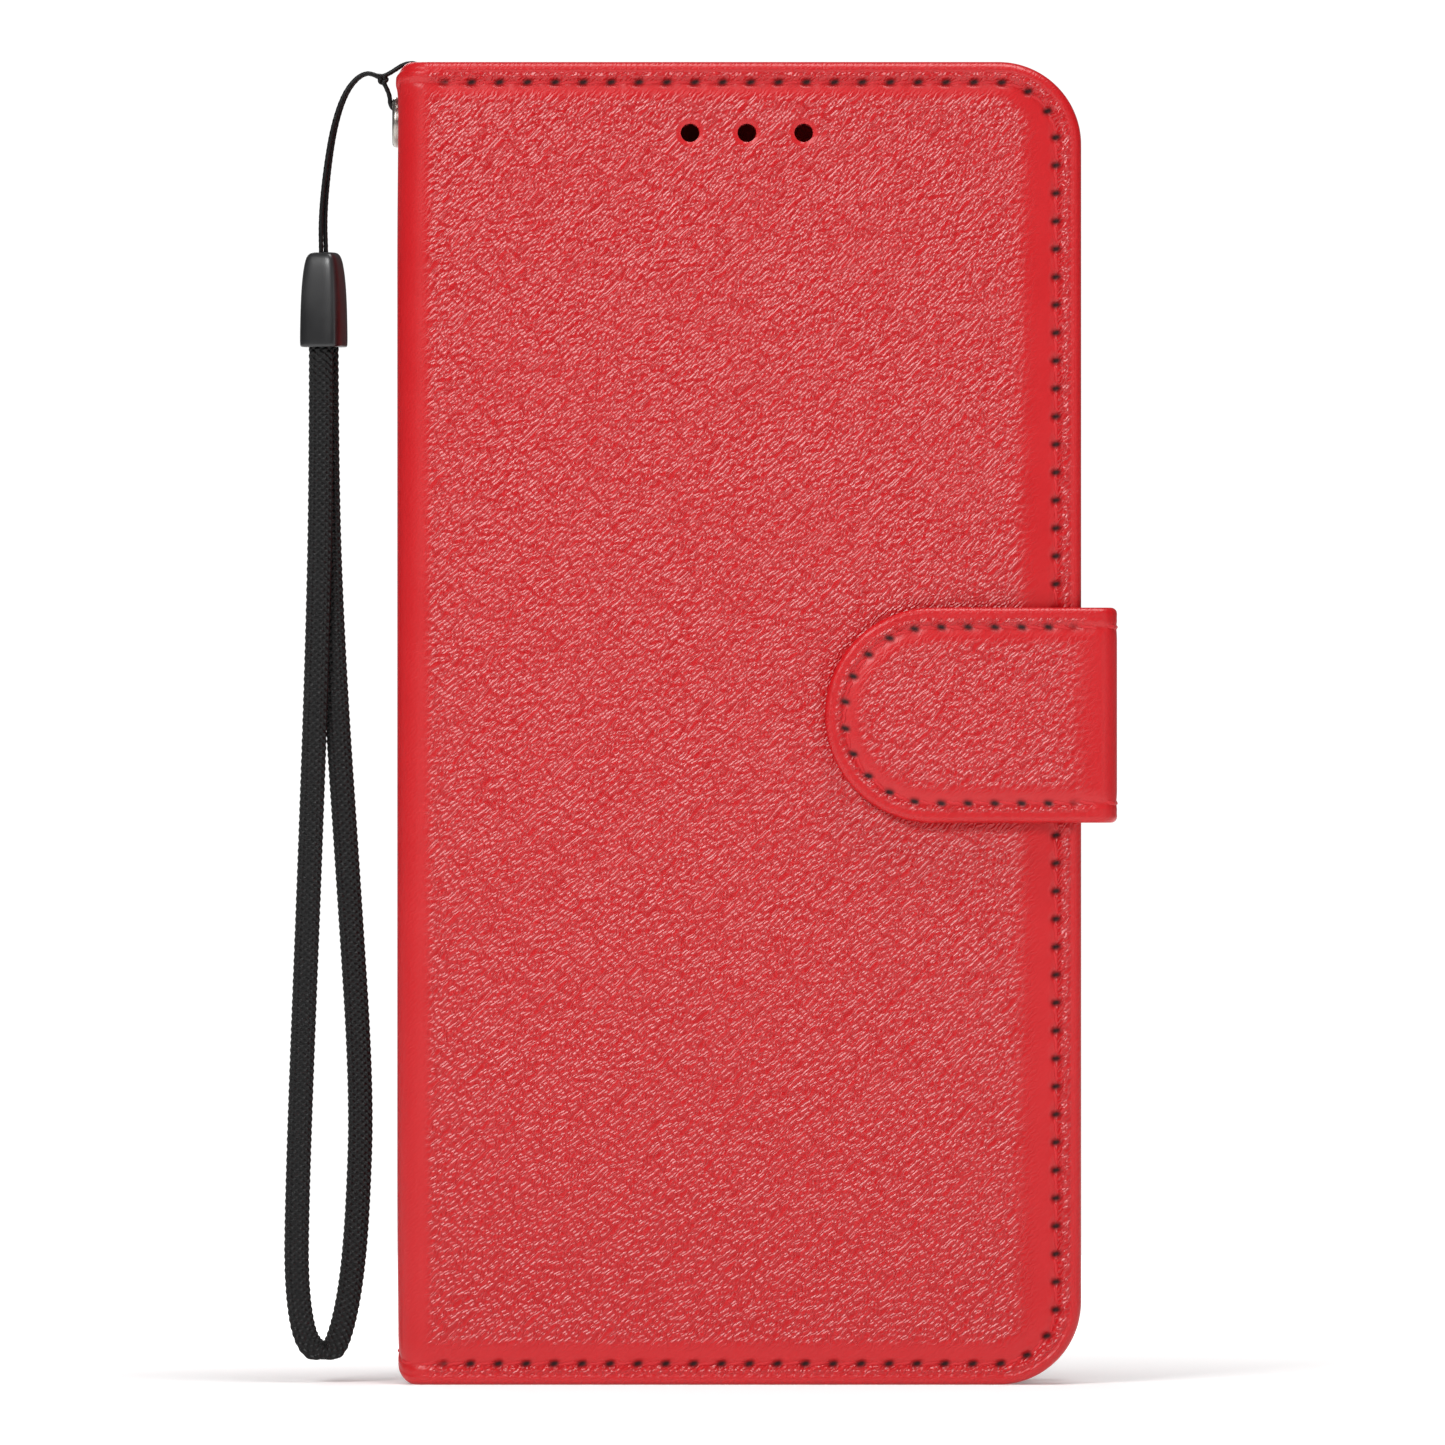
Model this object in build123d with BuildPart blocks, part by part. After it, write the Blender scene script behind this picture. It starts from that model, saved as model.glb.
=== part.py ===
from build123d import *
import math
import os

# A folding phone wallet case that stands upright: +Z is up along the spine, -Y is the front,
# the spine is at -X and the clasp at +X. The origin is under the middle of the closed case.

# ---------------------------------------------------------------- driving dimensions, millimetres
CASE_HEIGHT = 163.0
COVER_WIDTH = 84.2  # outer face of the spine to the fore edge
CLOSED_DEPTH = 19.0  # outer back face to outer front face
CORNER_RADIUS = 10.2  # the covers' two fore-edge corners
FOLD_RADIUS = 3.7  # the spine leather's rounded corners
FOLD_GAP = 0.4  # between a cover and the spine leather it folds against

FRONT_LEATHER, FRONT_FOAM, FRONT_BOARD, FRONT_LINING = 0.9, 0.8, 0.8, 0.5
BACK_LEATHER, BACK_BOARD, BACK_LINING = 1.0, 1.0, 0.6
ADHESIVE = 0.3
SPINE_LEATHER, SPINE_LINING = 1.0, 0.6
RIM = 1.0  # leather turned over the edge of a cover

PHONE_WIDTH, PHONE_HEIGHT, PHONE_DEPTH, PHONE_CORNER = 73.0, 155.0, 8.6, 9.0
SHELL_BACK, SHELL_WALL, SHELL_LIP = 1.1, 1.2, 0.8
CAMERA_WIDTH, CAMERA_HEIGHT, CAMERA_CORNER = 16.0, 32.0, 6.0
CAMERA_FROM_TOP, CAMERA_FROM_FORE_EDGE = 25.0, 22.0
PORT_WIDTH, PORT_HEIGHT = 44.0, 5.4

CARD_WIDTH, CARD_HEIGHT = 54.0, 85.6
POCKET_LEATHER, BILL_POCKET = 0.5, 0.7
POCKET_COUNT, POCKET_STEP, POCKET_MARGIN, POCKET_CORNER = 3, 8.0, 1.5, 2.0
THUMB_RADIUS = 9.0  # notch in a pocket's mouth

SPEAKER_HOLES, SPEAKER_PITCH, SPEAKER_DIAMETER = 3, 7.0, 2.3
SPEAKER_FROM_TOP, SPEAKER_FROM_SPINE = 8.75, 43.0

SEAM_TOP, SEAM_BOTTOM, SEAM_FORE, SEAM_CORNER = 2.5, 2.6, 3.1, 7.4
STITCH_PITCH, STITCH_LENGTH, THREAD = 3.4, 2.5, 0.6
STITCH_SLANT = 8.0  # degrees off the seam
GROOVE_WIDTH, GROOVE_DEPTH = 1.0, 0.3

CLASP_REACH = 4.4  # clasp's outer face past the fore edge
CLASP_HEIGHT, CLASP_LENGTH, CLASP_CENTRE = 26.5, 36.0, 82.5
CLASP_GAP = 0.3  # closed flap to the front cover
FLAP_LEATHER, FLAP_CORE, FLAP_LINING = 0.6, 0.8, 0.5
SIDE_LEATHER, SIDE_LINING = 0.9, 0.7
CLASP_SEAM, CLASP_PITCH, CLASP_STITCH = 2.4, 3.25, 2.4
ROOT_LENGTH = 14.0  # clasp leather held inside the back cover
MAGNET_DIAMETER, MAGNET_FROM_TIP = 13.0, 14.0
FOLD_CLEARANCE = 0.2  # past half a strap's thickness, each side of its fold line

EYELET_PROUD, EYELET_FLANGE, EYELET_BARREL, EYELET_BORE = 0.8, 3.1, 2.1, 1.7  # radii
EYELET_FROM_TOP = 7.2
WASHER_RADIUS, WASHER = 3.2, 0.4

CORD_RADIUS = 0.3
KNOT_RADIUS = 0.7
KNOT_GAP = 0.15  # between the knot, which turns, and the loop that it hangs from
FERRULE_WIDTH, FERRULE_DEPTH, FERRULE_HEIGHT, FERRULE_TURN = 5.0, 4.8, 11.7, 19.0
FERRULE_TAPER, FERRULE_CORNER, FERRULE_TOP_EDGE = 0.78, 0.9, 0.6
CAVITY_WIDTH, CAVITY_DEPTH, CAVITY_CORNER = 3.9, 2.7, 0.3  # the ferrule's mouth round the strap
STRAP_WIDTH, STRAP_THICKNESS, STRAP_INSERT = 3.1, 1.1, 4.0
CRIMP_RADIUS, CRIMP_HEIGHT = 1.15, 2.4

# ---------------------------------------------------------------- derived places
SPINE_X = EYELET_PROUD - (COVER_WIDTH + CLASP_REACH + EYELET_PROUD) / 2
FORE_X = SPINE_X + COVER_WIDTH
CLASP_X = FORE_X + CLASP_REACH
FLAP_THICKNESS = FLAP_LEATHER + FLAP_CORE + FLAP_LINING
SIDE_THICKNESS = SIDE_LEATHER + SIDE_LINING
BACK_Y = (CLOSED_DEPTH + CLASP_GAP + FLAP_THICKNESS) / 2
FRONT_Y = BACK_Y - CLOSED_DEPTH
SPINE_Y = (BACK_Y + FRONT_Y) / 2
FRONT_THICKNESS = FRONT_LEATHER + FRONT_FOAM + FRONT_BOARD + FRONT_LINING
BACK_THICKNESS = BACK_LEATHER + BACK_BOARD + BACK_LINING
COVER_START_X = SPINE_X + FOLD_RADIUS + FOLD_GAP
MID_Z = CASE_HEIGHT / 2
PHONE_X = SPINE_X + SPEAKER_FROM_SPINE
CAMERA_X = FORE_X - CAMERA_FROM_FORE_EDGE
CAMERA_Z = CASE_HEIGHT - CAMERA_FROM_TOP
SHELL_Y = BACK_Y - BACK_THICKNESS - ADHESIVE
CLASP_FOLD_X = CLASP_X - SIDE_THICKNESS / 2
CLASP_BACK_Y = BACK_Y - BACK_LEATHER - BACK_BOARD / 2
FLAP_Y = FRONT_Y - CLASP_GAP
CLASP_FRONT_Y = FLAP_Y - FLAP_THICKNESS / 2
SIDE_BACK_Y = CLASP_BACK_Y - SIDE_THICKNESS / 2 - FOLD_CLEARANCE
SIDE_FRONT_Y = CLASP_FRONT_Y + FLAP_THICKNESS / 2 + FOLD_CLEARANCE
FLAP_TIP_X = CLASP_X - CLASP_LENGTH
FLAP_END_X = CLASP_FOLD_X - FLAP_THICKNESS / 2 - FOLD_CLEARANCE
MAGNET_X = FLAP_TIP_X + MAGNET_FROM_TIP
EYELET_Z = CASE_HEIGHT - EYELET_FROM_TOP
STRAND_PITCH = 2 * CORD_RADIUS + 0.1
STRAND_SPREAD = 0.6  # sideways, at the ferrule, between two strands that lie together at the knot
STRAND_HOLE_RADIUS = 3 * CORD_RADIUS

os.makedirs("parts", exist_ok=True)


# ---------------------------------------------------------------- helpers
def save(builder, name):
    """Labels a finished piece and writes its STEP file."""
    builder.part.label = name
    export_step(builder.part, f"parts/{name}.step")


def facing(y):
    """A plane seen from the front: x to the right, z up, at depth y. Extrusions run forwards."""
    return Plane.XZ.offset(-y)


def cover_layer(y, thickness, inset=0.0, start_x=COVER_START_X, mode=Mode.ADD):
    """One layer of a cover: square at the fold, rounded at the two fore-edge corners."""
    end_x = FORE_X - inset
    with BuildSketch(facing(y)) as outline:
        with Locations(((start_x + end_x) / 2, MID_Z)):
            Rectangle(end_x - start_x, CASE_HEIGHT - 2 * inset)
        fillet(outline.vertices().group_by(Axis.X)[-1], CORNER_RADIUS - inset)
    extrude(outline.sketch, amount=thickness, mode=mode)


def cut_camera(y, depth):
    """The camera window through the back's layers, from depth y forwards."""
    with BuildSketch(facing(y)) as window:
        with Locations((CAMERA_X, CAMERA_Z)):
            RectangleRounded(CAMERA_WIDTH, CAMERA_HEIGHT, CAMERA_CORNER)
    extrude(window.sketch, amount=depth, mode=Mode.SUBTRACT)


def cut_speaker_holes(y, depth):
    """The row of small round holes over the earpiece."""
    with BuildSketch(facing(y)) as holes:
        with Locations((PHONE_X, CASE_HEIGHT - SPEAKER_FROM_TOP)):
            with GridLocations(SPEAKER_PITCH, SPEAKER_PITCH, SPEAKER_HOLES, 1):
                Circle(SPEAKER_DIAMETER / 2)
    extrude(holes.sketch, amount=depth, mode=Mode.SUBTRACT)


def cover_seam(start_x):
    """The stitch line round a cover's top, fore edge and bottom."""
    top = CASE_HEIGHT - SEAM_TOP
    fore = FORE_X - SEAM_FORE
    with BuildLine() as line:
        FilletPolyline(
            (start_x, top), (fore, top), (fore, SEAM_BOTTOM), (start_x, SEAM_BOTTOM),
            radius=SEAM_CORNER,
        )
    return line.wire()


def clasp_seam():
    """The stitch line inside the flap's D-shaped edge, open at the fold."""
    half = CLASP_HEIGHT / 2 - CLASP_SEAM
    turn_x = FLAP_TIP_X + CLASP_HEIGHT / 2
    with BuildLine() as line:
        Line((FLAP_END_X - CLASP_SEAM, CLASP_CENTRE + half), (turn_x, CLASP_CENTRE + half))
        ThreePointArc(
            (turn_x, CLASP_CENTRE + half),
            (turn_x - half, CLASP_CENTRE),
            (turn_x, CLASP_CENTRE - half),
        )
        Line((turn_x, CLASP_CENTRE - half), (FLAP_END_X - CLASP_SEAM, CLASP_CENTRE - half))
    return line.wire()


def spine_seam(height):
    """A short stitch line across the flat of the spine, drawn on the spine's own plane."""
    with BuildLine() as line:
        Line((FOLD_RADIUS - BACK_Y, height), (-FOLD_RADIUS - FRONT_Y, height))
    return line.wire()


def cut_groove(seam, plane, amount):
    """A shallow channel along a seam, cut from a plane by a signed amount."""
    with BuildSketch(plane) as channel:
        trace(seam.edges(), line_width=GROOVE_WIDTH)
    extrude(channel.sketch, amount=amount, mode=Mode.SUBTRACT)


def add_stitches(seam, plane, amount, pitch, length):
    """Evenly spaced stitches lying in a seam's groove, flush with the leather."""
    count = round(seam.length / pitch)
    with BuildSketch(plane) as threads:
        for index in range(count):
            share = (index + 0.5) / count
            spot = seam.position_at(share)
            turn = seam.tangent_angle_at(share) + STITCH_SLANT
            with Locations(Location((spot.X, spot.Y, 0), turn)):
                SlotOverall(length, THREAD)
    extrude(threads.sketch, amount=amount)


def flap_layer(y, thickness, inset=0.0, mode=Mode.ADD):
    """One layer of the flap: a half-round tip on a straight strap."""
    radius = CLASP_HEIGHT / 2 - inset
    turn_x = FLAP_TIP_X + CLASP_HEIGHT / 2
    end_x = FLAP_END_X - inset
    with BuildSketch(facing(y)) as outline:
        with Locations((turn_x, CLASP_CENTRE)):
            Circle(radius)
        with Locations(((turn_x + end_x) / 2, CLASP_CENTRE)):
            Rectangle(end_x - turn_x, 2 * radius)
    extrude(outline.sketch, amount=thickness, mode=mode)


def magnet_disc(y, thickness, mode=Mode.ADD):
    """A magnet's round disc, or its seat through another layer."""
    with BuildSketch(facing(y)) as disc:
        with Locations((MAGNET_X, CLASP_CENTRE)):
            Circle(MAGNET_DIAMETER / 2)
    extrude(disc.sketch, amount=thickness, mode=mode)


def bend_radii(points):
    """The largest tangent arcs that a route's runs allow, one for each of its corners."""
    vectors = [Vector(*point) for point in points]
    runs = [after - before for before, after in zip(vectors, vectors[1:])]
    radii = []
    for before, after in zip(runs, runs[1:]):
        half_turn = math.radians(before.get_angle(after) / 2)
        radii.append(0.45 * min(before.length, after.length) / math.tan(half_turn))
    return radii


def route_line(points, name):
    """A cord's centreline: straight runs joined by tangent arcs."""
    radii = bend_radii(points)
    with BuildLine() as line:
        FilletPolyline(*points, radius=radii)
    wire = line.wire()
    print(name, f"length {wire.length:.1f}", "radii", [round(radius, 2) for radius in radii])
    return wire


def across(line):
    """The plane square to a line at its start, with its x axis as near to +X as it can be."""
    return Plane(origin=line @ 0, x_dir=(1, 0, 0), z_dir=line % 0)


def round_cord(line):
    """A round cord along a line."""
    with BuildSketch(across(line)) as section:
        Circle(CORD_RADIUS)
    sweep(section.sketch, path=line)


# ---------------------------------------------------------------- back cover
with BuildPart() as back_leather:
    cover_layer(BACK_Y, BACK_THICKNESS)
    cover_layer(BACK_Y - BACK_LEATHER, BACK_THICKNESS - BACK_LEATHER, RIM, COVER_START_X - RIM, Mode.SUBTRACT)
    cut_groove(cover_seam(COVER_START_X), facing(BACK_Y - GROOVE_DEPTH), -GROOVE_DEPTH)
    cut_camera(BACK_Y, BACK_LEATHER)
    with Locations((FORE_X, CLASP_BACK_Y, CLASP_CENTRE)):
        Box(4 * RIM, BACK_BOARD, CLASP_HEIGHT, mode=Mode.SUBTRACT)
save(back_leather, "back_leather")

with BuildPart() as back_stitching:
    back_seam_plane = facing(BACK_Y - GROOVE_DEPTH)
    add_stitches(cover_seam(COVER_START_X), back_seam_plane, -GROOVE_DEPTH, STITCH_PITCH, STITCH_LENGTH)
save(back_stitching, "back_stitching")

with BuildPart() as back_board:
    cover_layer(BACK_Y - BACK_LEATHER, BACK_BOARD, RIM)
    cut_camera(BACK_Y - BACK_LEATHER, BACK_BOARD)
    with Locations((FORE_X - ROOT_LENGTH / 2, CLASP_BACK_Y, CLASP_CENTRE)):
        Box(ROOT_LENGTH, BACK_BOARD, CLASP_HEIGHT, mode=Mode.SUBTRACT)
save(back_board, "back_board")

with BuildPart() as back_lining:
    cover_layer(BACK_Y - BACK_LEATHER - BACK_BOARD, BACK_LINING, RIM)
    cut_camera(BACK_Y - BACK_LEATHER - BACK_BOARD, BACK_LINING)
save(back_lining, "back_lining")

# ---------------------------------------------------------------- phone shell
SHELL_WIDTH = PHONE_WIDTH + 2 * SHELL_WALL
SHELL_HEIGHT = PHONE_HEIGHT + 2 * SHELL_WALL
SHELL_BOTTOM_Z = MID_Z - SHELL_HEIGHT / 2
CAVITY_Y = SHELL_Y - SHELL_BACK

with BuildPart() as shell_adhesive:
    with BuildSketch(facing(SHELL_Y + ADHESIVE)):
        with Locations((PHONE_X, MID_Z)):
            RectangleRounded(PHONE_WIDTH, PHONE_HEIGHT, PHONE_CORNER)
    extrude(amount=ADHESIVE)
    cut_camera(SHELL_Y + ADHESIVE, ADHESIVE)
save(shell_adhesive, "shell_adhesive")

with BuildPart() as phone_shell:
    with BuildSketch(facing(SHELL_Y)):
        with Locations((PHONE_X, MID_Z)):
            RectangleRounded(SHELL_WIDTH, SHELL_HEIGHT, PHONE_CORNER + SHELL_WALL)
    extrude(amount=SHELL_BACK + PHONE_DEPTH + SHELL_LIP)
    with BuildSketch(facing(CAVITY_Y)):
        with Locations((PHONE_X, MID_Z)):
            RectangleRounded(PHONE_WIDTH, PHONE_HEIGHT, PHONE_CORNER)
    extrude(amount=PHONE_DEPTH, mode=Mode.SUBTRACT)
    with BuildSketch(facing(CAVITY_Y - PHONE_DEPTH)):
        with Locations((PHONE_X, MID_Z)):
            RectangleRounded(
                PHONE_WIDTH - 2 * SHELL_LIP, PHONE_HEIGHT - 2 * SHELL_LIP, PHONE_CORNER - SHELL_LIP
            )
    extrude(amount=SHELL_LIP, mode=Mode.SUBTRACT)
    cut_camera(SHELL_Y, SHELL_BACK)
    with BuildSketch(Plane.XY.offset(SHELL_BOTTOM_Z)):
        with Locations((PHONE_X, CAVITY_Y - PHONE_DEPTH / 2)):
            SlotOverall(PORT_WIDTH, PORT_HEIGHT)
    extrude(amount=SHELL_WALL, mode=Mode.SUBTRACT)
save(phone_shell, "phone_shell")

# ---------------------------------------------------------------- spine
SPINE_SEAM_PLANE = Plane(origin=(SPINE_X + GROOVE_DEPTH, 0, 0), x_dir=(0, -1, 0), z_dir=(-1, 0, 0))
SPINE_SEAMS = [spine_seam(SEAM_BOTTOM), spine_seam(CASE_HEIGHT - SEAM_TOP)]

with BuildPart() as spine_leather:
    with BuildSketch(Plane.XY) as channel:
        with Locations((SPINE_X + FOLD_RADIUS / 2, SPINE_Y)):
            Rectangle(FOLD_RADIUS, CLOSED_DEPTH)
        fillet(channel.vertices().group_by(Axis.X)[0], FOLD_RADIUS - 0.01)
        with Locations((SPINE_X + SPINE_LEATHER + FOLD_RADIUS / 2, SPINE_Y)):
            Rectangle(FOLD_RADIUS, CLOSED_DEPTH - 2 * FOLD_RADIUS, mode=Mode.SUBTRACT)
        with Locations(
            (SPINE_X + FOLD_RADIUS, FRONT_Y + FOLD_RADIUS), (SPINE_X + FOLD_RADIUS, BACK_Y - FOLD_RADIUS)
        ):
            Circle(FOLD_RADIUS - SPINE_LEATHER, mode=Mode.SUBTRACT)
    extrude(amount=CASE_HEIGHT)
    with Locations(Location((SPINE_X, SPINE_Y, EYELET_Z), (0, 90, 0))):
        Cylinder(EYELET_BARREL, 4 * SPINE_LEATHER, mode=Mode.SUBTRACT)
    for seam in SPINE_SEAMS:
        cut_groove(seam, SPINE_SEAM_PLANE, GROOVE_DEPTH)
save(spine_leather, "spine_leather")

with BuildPart() as spine_stitching:
    for seam in SPINE_SEAMS:
        add_stitches(seam, SPINE_SEAM_PLANE, GROOVE_DEPTH, STITCH_PITCH, STITCH_LENGTH)
save(spine_stitching, "spine_stitching")

SPINE_LINING_DEPTH = CLOSED_DEPTH - 2 * FOLD_RADIUS

with BuildPart() as spine_lining:
    with Locations((SPINE_X + SPINE_LEATHER + SPINE_LINING / 2, SPINE_Y, MID_Z)):
        Box(SPINE_LINING, SPINE_LINING_DEPTH, CASE_HEIGHT - 2 * RIM)
    with Locations(Location((SPINE_X + SPINE_LEATHER, SPINE_Y, EYELET_Z), (0, 90, 0))):
        Cylinder(EYELET_BARREL, 4 * SPINE_LINING, mode=Mode.SUBTRACT)
save(spine_lining, "spine_lining")

with BuildPart() as eyelet:
    with BuildSketch(Plane.XY) as profile:
        Circle(EYELET_FLANGE)
        Circle(EYELET_BORE, mode=Mode.SUBTRACT)
    extrude(amount=EYELET_PROUD)
    fillet(eyelet.edges().group_by(Axis.Z)[-1], EYELET_PROUD * 0.6)
    with BuildSketch(Plane.XY):
        Circle(EYELET_BARREL)
        Circle(EYELET_BORE, mode=Mode.SUBTRACT)
    extrude(amount=-(SPINE_LEATHER + SPINE_LINING + WASHER))
EYELET_FRAME = Plane(origin=(SPINE_X, SPINE_Y, EYELET_Z), x_dir=(0, 1, 0), z_dir=(-1, 0, 0))
eyelet.part = EYELET_FRAME * eyelet.part
save(eyelet, "eyelet")

with BuildPart() as eyelet_washer:
    with BuildSketch(EYELET_FRAME.offset(-(SPINE_LEATHER + SPINE_LINING + WASHER))):
        Circle(WASHER_RADIUS)
        Circle(EYELET_BARREL, mode=Mode.SUBTRACT)
    extrude(amount=WASHER)
save(eyelet_washer, "eyelet_washer")

# ---------------------------------------------------------------- front cover
with BuildPart() as front_leather:
    cover_layer(FRONT_Y + FRONT_THICKNESS, FRONT_THICKNESS)
    cover_layer(
        FRONT_Y + FRONT_THICKNESS, FRONT_THICKNESS - FRONT_LEATHER, RIM, COVER_START_X - RIM, Mode.SUBTRACT
    )
    cut_groove(cover_seam(COVER_START_X), facing(FRONT_Y + GROOVE_DEPTH), GROOVE_DEPTH)
    cut_speaker_holes(FRONT_Y + FRONT_THICKNESS, FRONT_THICKNESS)
save(front_leather, "front_leather")

with BuildPart() as front_stitching:
    front_seam_plane = facing(FRONT_Y + GROOVE_DEPTH)
    add_stitches(cover_seam(COVER_START_X), front_seam_plane, GROOVE_DEPTH, STITCH_PITCH, STITCH_LENGTH)
save(front_stitching, "front_stitching")

FOAM_Y = FRONT_Y + FRONT_LEATHER + FRONT_FOAM
BOARD_Y = FOAM_Y + FRONT_BOARD
LINING_Y = BOARD_Y + FRONT_LINING

with BuildPart() as front_foam:
    cover_layer(FOAM_Y, FRONT_FOAM, RIM)
    cut_speaker_holes(FOAM_Y, FRONT_FOAM)
save(front_foam, "front_foam")

with BuildPart() as front_board:
    cover_layer(BOARD_Y, FRONT_BOARD, RIM)
    cut_speaker_holes(BOARD_Y, FRONT_BOARD)
    magnet_disc(BOARD_Y, FRONT_BOARD, Mode.SUBTRACT)
save(front_board, "front_board")

with BuildPart() as cover_magnet_plate:
    magnet_disc(BOARD_Y, FRONT_BOARD)
save(cover_magnet_plate, "cover_magnet_plate")

with BuildPart() as front_lining:
    cover_layer(LINING_Y, FRONT_LINING, RIM)
    cut_speaker_holes(LINING_Y, FRONT_LINING)
save(front_lining, "front_lining")

# ---------------------------------------------------------------- pockets inside the front cover
POCKET_END_X = FORE_X - SEAM_FORE - POCKET_MARGIN
POCKET_TOP_Z = CASE_HEIGHT - 2 * SPEAKER_FROM_TOP
POCKET_BOTTOM_Z = SEAM_BOTTOM + POCKET_MARGIN
BILL_START_X = COVER_START_X + 4 * POCKET_MARGIN
SLOT_HEIGHT = CARD_HEIGHT + 4 * POCKET_MARGIN
SLOT_BOTTOM_Z = MID_Z - SLOT_HEIGHT / 2


def pocket_panel(y, thickness, start_x, bottom, top):
    """A flat pocket panel, open towards the spine, with a half-round thumb notch in its mouth."""
    with BuildSketch(facing(y)) as outline:
        with Locations(((start_x + POCKET_END_X) / 2, (bottom + top) / 2)):
            Rectangle(POCKET_END_X - start_x, top - bottom)
        fillet(outline.vertices(), POCKET_CORNER)
        with Locations((start_x, (bottom + top) / 2)):
            Circle(THUMB_RADIUS, mode=Mode.SUBTRACT)
    extrude(outline.sketch, amount=thickness)


with BuildPart() as bill_pocket:
    pocket_panel(LINING_Y + BILL_POCKET, BILL_POCKET, BILL_START_X, POCKET_BOTTOM_Z, POCKET_TOP_Z)
save(bill_pocket, "bill_pocket")

for number in range(POCKET_COUNT):
    slot_y = LINING_Y + BILL_POCKET + POCKET_LEATHER * (number + 1)
    slot_start_x = POCKET_END_X - CARD_WIDTH + POCKET_STEP * number
    with BuildPart() as card_slot:
        pocket_panel(slot_y, POCKET_LEATHER, slot_start_x, SLOT_BOTTOM_Z, SLOT_BOTTOM_Z + SLOT_HEIGHT)
    save(card_slot, f"card_slot_{number + 1}")

# ---------------------------------------------------------------- clasp
with BuildPart() as clasp_root:
    root_end_x = CLASP_FOLD_X - SIDE_THICKNESS / 2 - FOLD_CLEARANCE
    root_start_x = FORE_X - ROOT_LENGTH
    with Locations(((root_start_x + root_end_x) / 2, CLASP_BACK_Y, CLASP_CENTRE)):
        Box(root_end_x - root_start_x, BACK_BOARD, CLASP_HEIGHT)
save(clasp_root, "clasp_root")

SIDE_LENGTH = SIDE_BACK_Y - SIDE_FRONT_Y
SIDE_MID_Y = (SIDE_BACK_Y + SIDE_FRONT_Y) / 2

with BuildPart() as clasp_side_leather:
    with Locations((CLASP_X - SIDE_LEATHER / 2, SIDE_MID_Y, CLASP_CENTRE)):
        Box(SIDE_LEATHER, SIDE_LENGTH, CLASP_HEIGHT)
save(clasp_side_leather, "clasp_side_leather")

with BuildPart() as clasp_side_lining:
    with Locations((CLASP_X - SIDE_LEATHER - SIDE_LINING / 2, SIDE_MID_Y, CLASP_CENTRE)):
        Box(SIDE_LINING, SIDE_LENGTH, CLASP_HEIGHT)
save(clasp_side_lining, "clasp_side_lining")


CORE_Y = FLAP_Y - FLAP_LINING

with BuildPart() as flap_lining:
    flap_layer(FLAP_Y, FLAP_LINING)
save(flap_lining, "flap_lining")

with BuildPart() as flap_stiffener:
    flap_layer(CORE_Y, FLAP_CORE, inset=RIM)
    magnet_disc(CORE_Y, FLAP_CORE, Mode.SUBTRACT)
save(flap_stiffener, "flap_stiffener")

with BuildPart() as clasp_magnet:
    magnet_disc(CORE_Y, FLAP_CORE)
save(clasp_magnet, "clasp_magnet")

with BuildPart() as flap_leather:
    flap_layer(CORE_Y, FLAP_CORE + FLAP_LEATHER)
    flap_layer(CORE_Y, FLAP_CORE, RIM, Mode.SUBTRACT)
    cut_groove(clasp_seam(), facing(FLAP_Y - FLAP_THICKNESS + GROOVE_DEPTH), GROOVE_DEPTH)
save(flap_leather, "flap_leather")

with BuildPart() as clasp_stitching:
    flap_seam_plane = facing(FLAP_Y - FLAP_THICKNESS + GROOVE_DEPTH)
    add_stitches(clasp_seam(), flap_seam_plane, GROOVE_DEPTH, CLASP_PITCH, CLASP_STITCH)
save(clasp_stitching, "clasp_stitching")

# ---------------------------------------------------------------- lanyard
KNOT = Vector(SPINE_X - 2.0, SPINE_Y, CASE_HEIGHT - 1.9)
FERRULE_X = SPINE_X - 9.3
FERRULE_BOTTOM_Z = 128.0
CRIMP_Z = FERRULE_BOTTOM_Z + STRAP_INSERT
STRAND_END_Z = CRIMP_Z + CRIMP_HEIGHT

# the cord from under the knot, in through the eyelet and back over the spine's top edge
LOOP_ROUTE = [
    (SPINE_X - 1.9, SPINE_Y, KNOT.Z - KNOT_RADIUS - KNOT_GAP),
    (SPINE_X - 1.45, SPINE_Y, EYELET_Z + 1.9),
    (SPINE_X - 1.2, SPINE_Y, EYELET_Z + 0.1),
    (SPINE_X + 1.0, SPINE_Y, EYELET_Z - 0.2),
    (SPINE_X + 2.9, SPINE_Y, EYELET_Z + 0.7),
    (SPINE_X + 3.2, SPINE_Y, EYELET_Z + 4.2),
    (SPINE_X + 2.9, SPINE_Y, EYELET_Z + 7.6),
    (SPINE_X + 0.9, SPINE_Y, CASE_HEIGHT + 0.8),
    (KNOT.X + 0.7, SPINE_Y, KNOT.Z + 0.75),
]

# one of the two strands from the knot to the ferrule; the other lies beside it
STRAND_ROUTE = [
    (-2.3, 161.4),
    (-4.3, 162.1),
    (-6.5, 159.9),
    (-8.0, 155.6),
    (-8.9, 150.0),
    (-9.45, 144.0),
    (-9.3, 139.2),
    (-9.3, STRAND_END_Z),
]


loop_line = route_line(LOOP_ROUTE, "eyelet_cord_loop")
with BuildPart() as eyelet_cord_loop:
    round_cord(loop_line)
save(eyelet_cord_loop, "eyelet_cord_loop")

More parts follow.
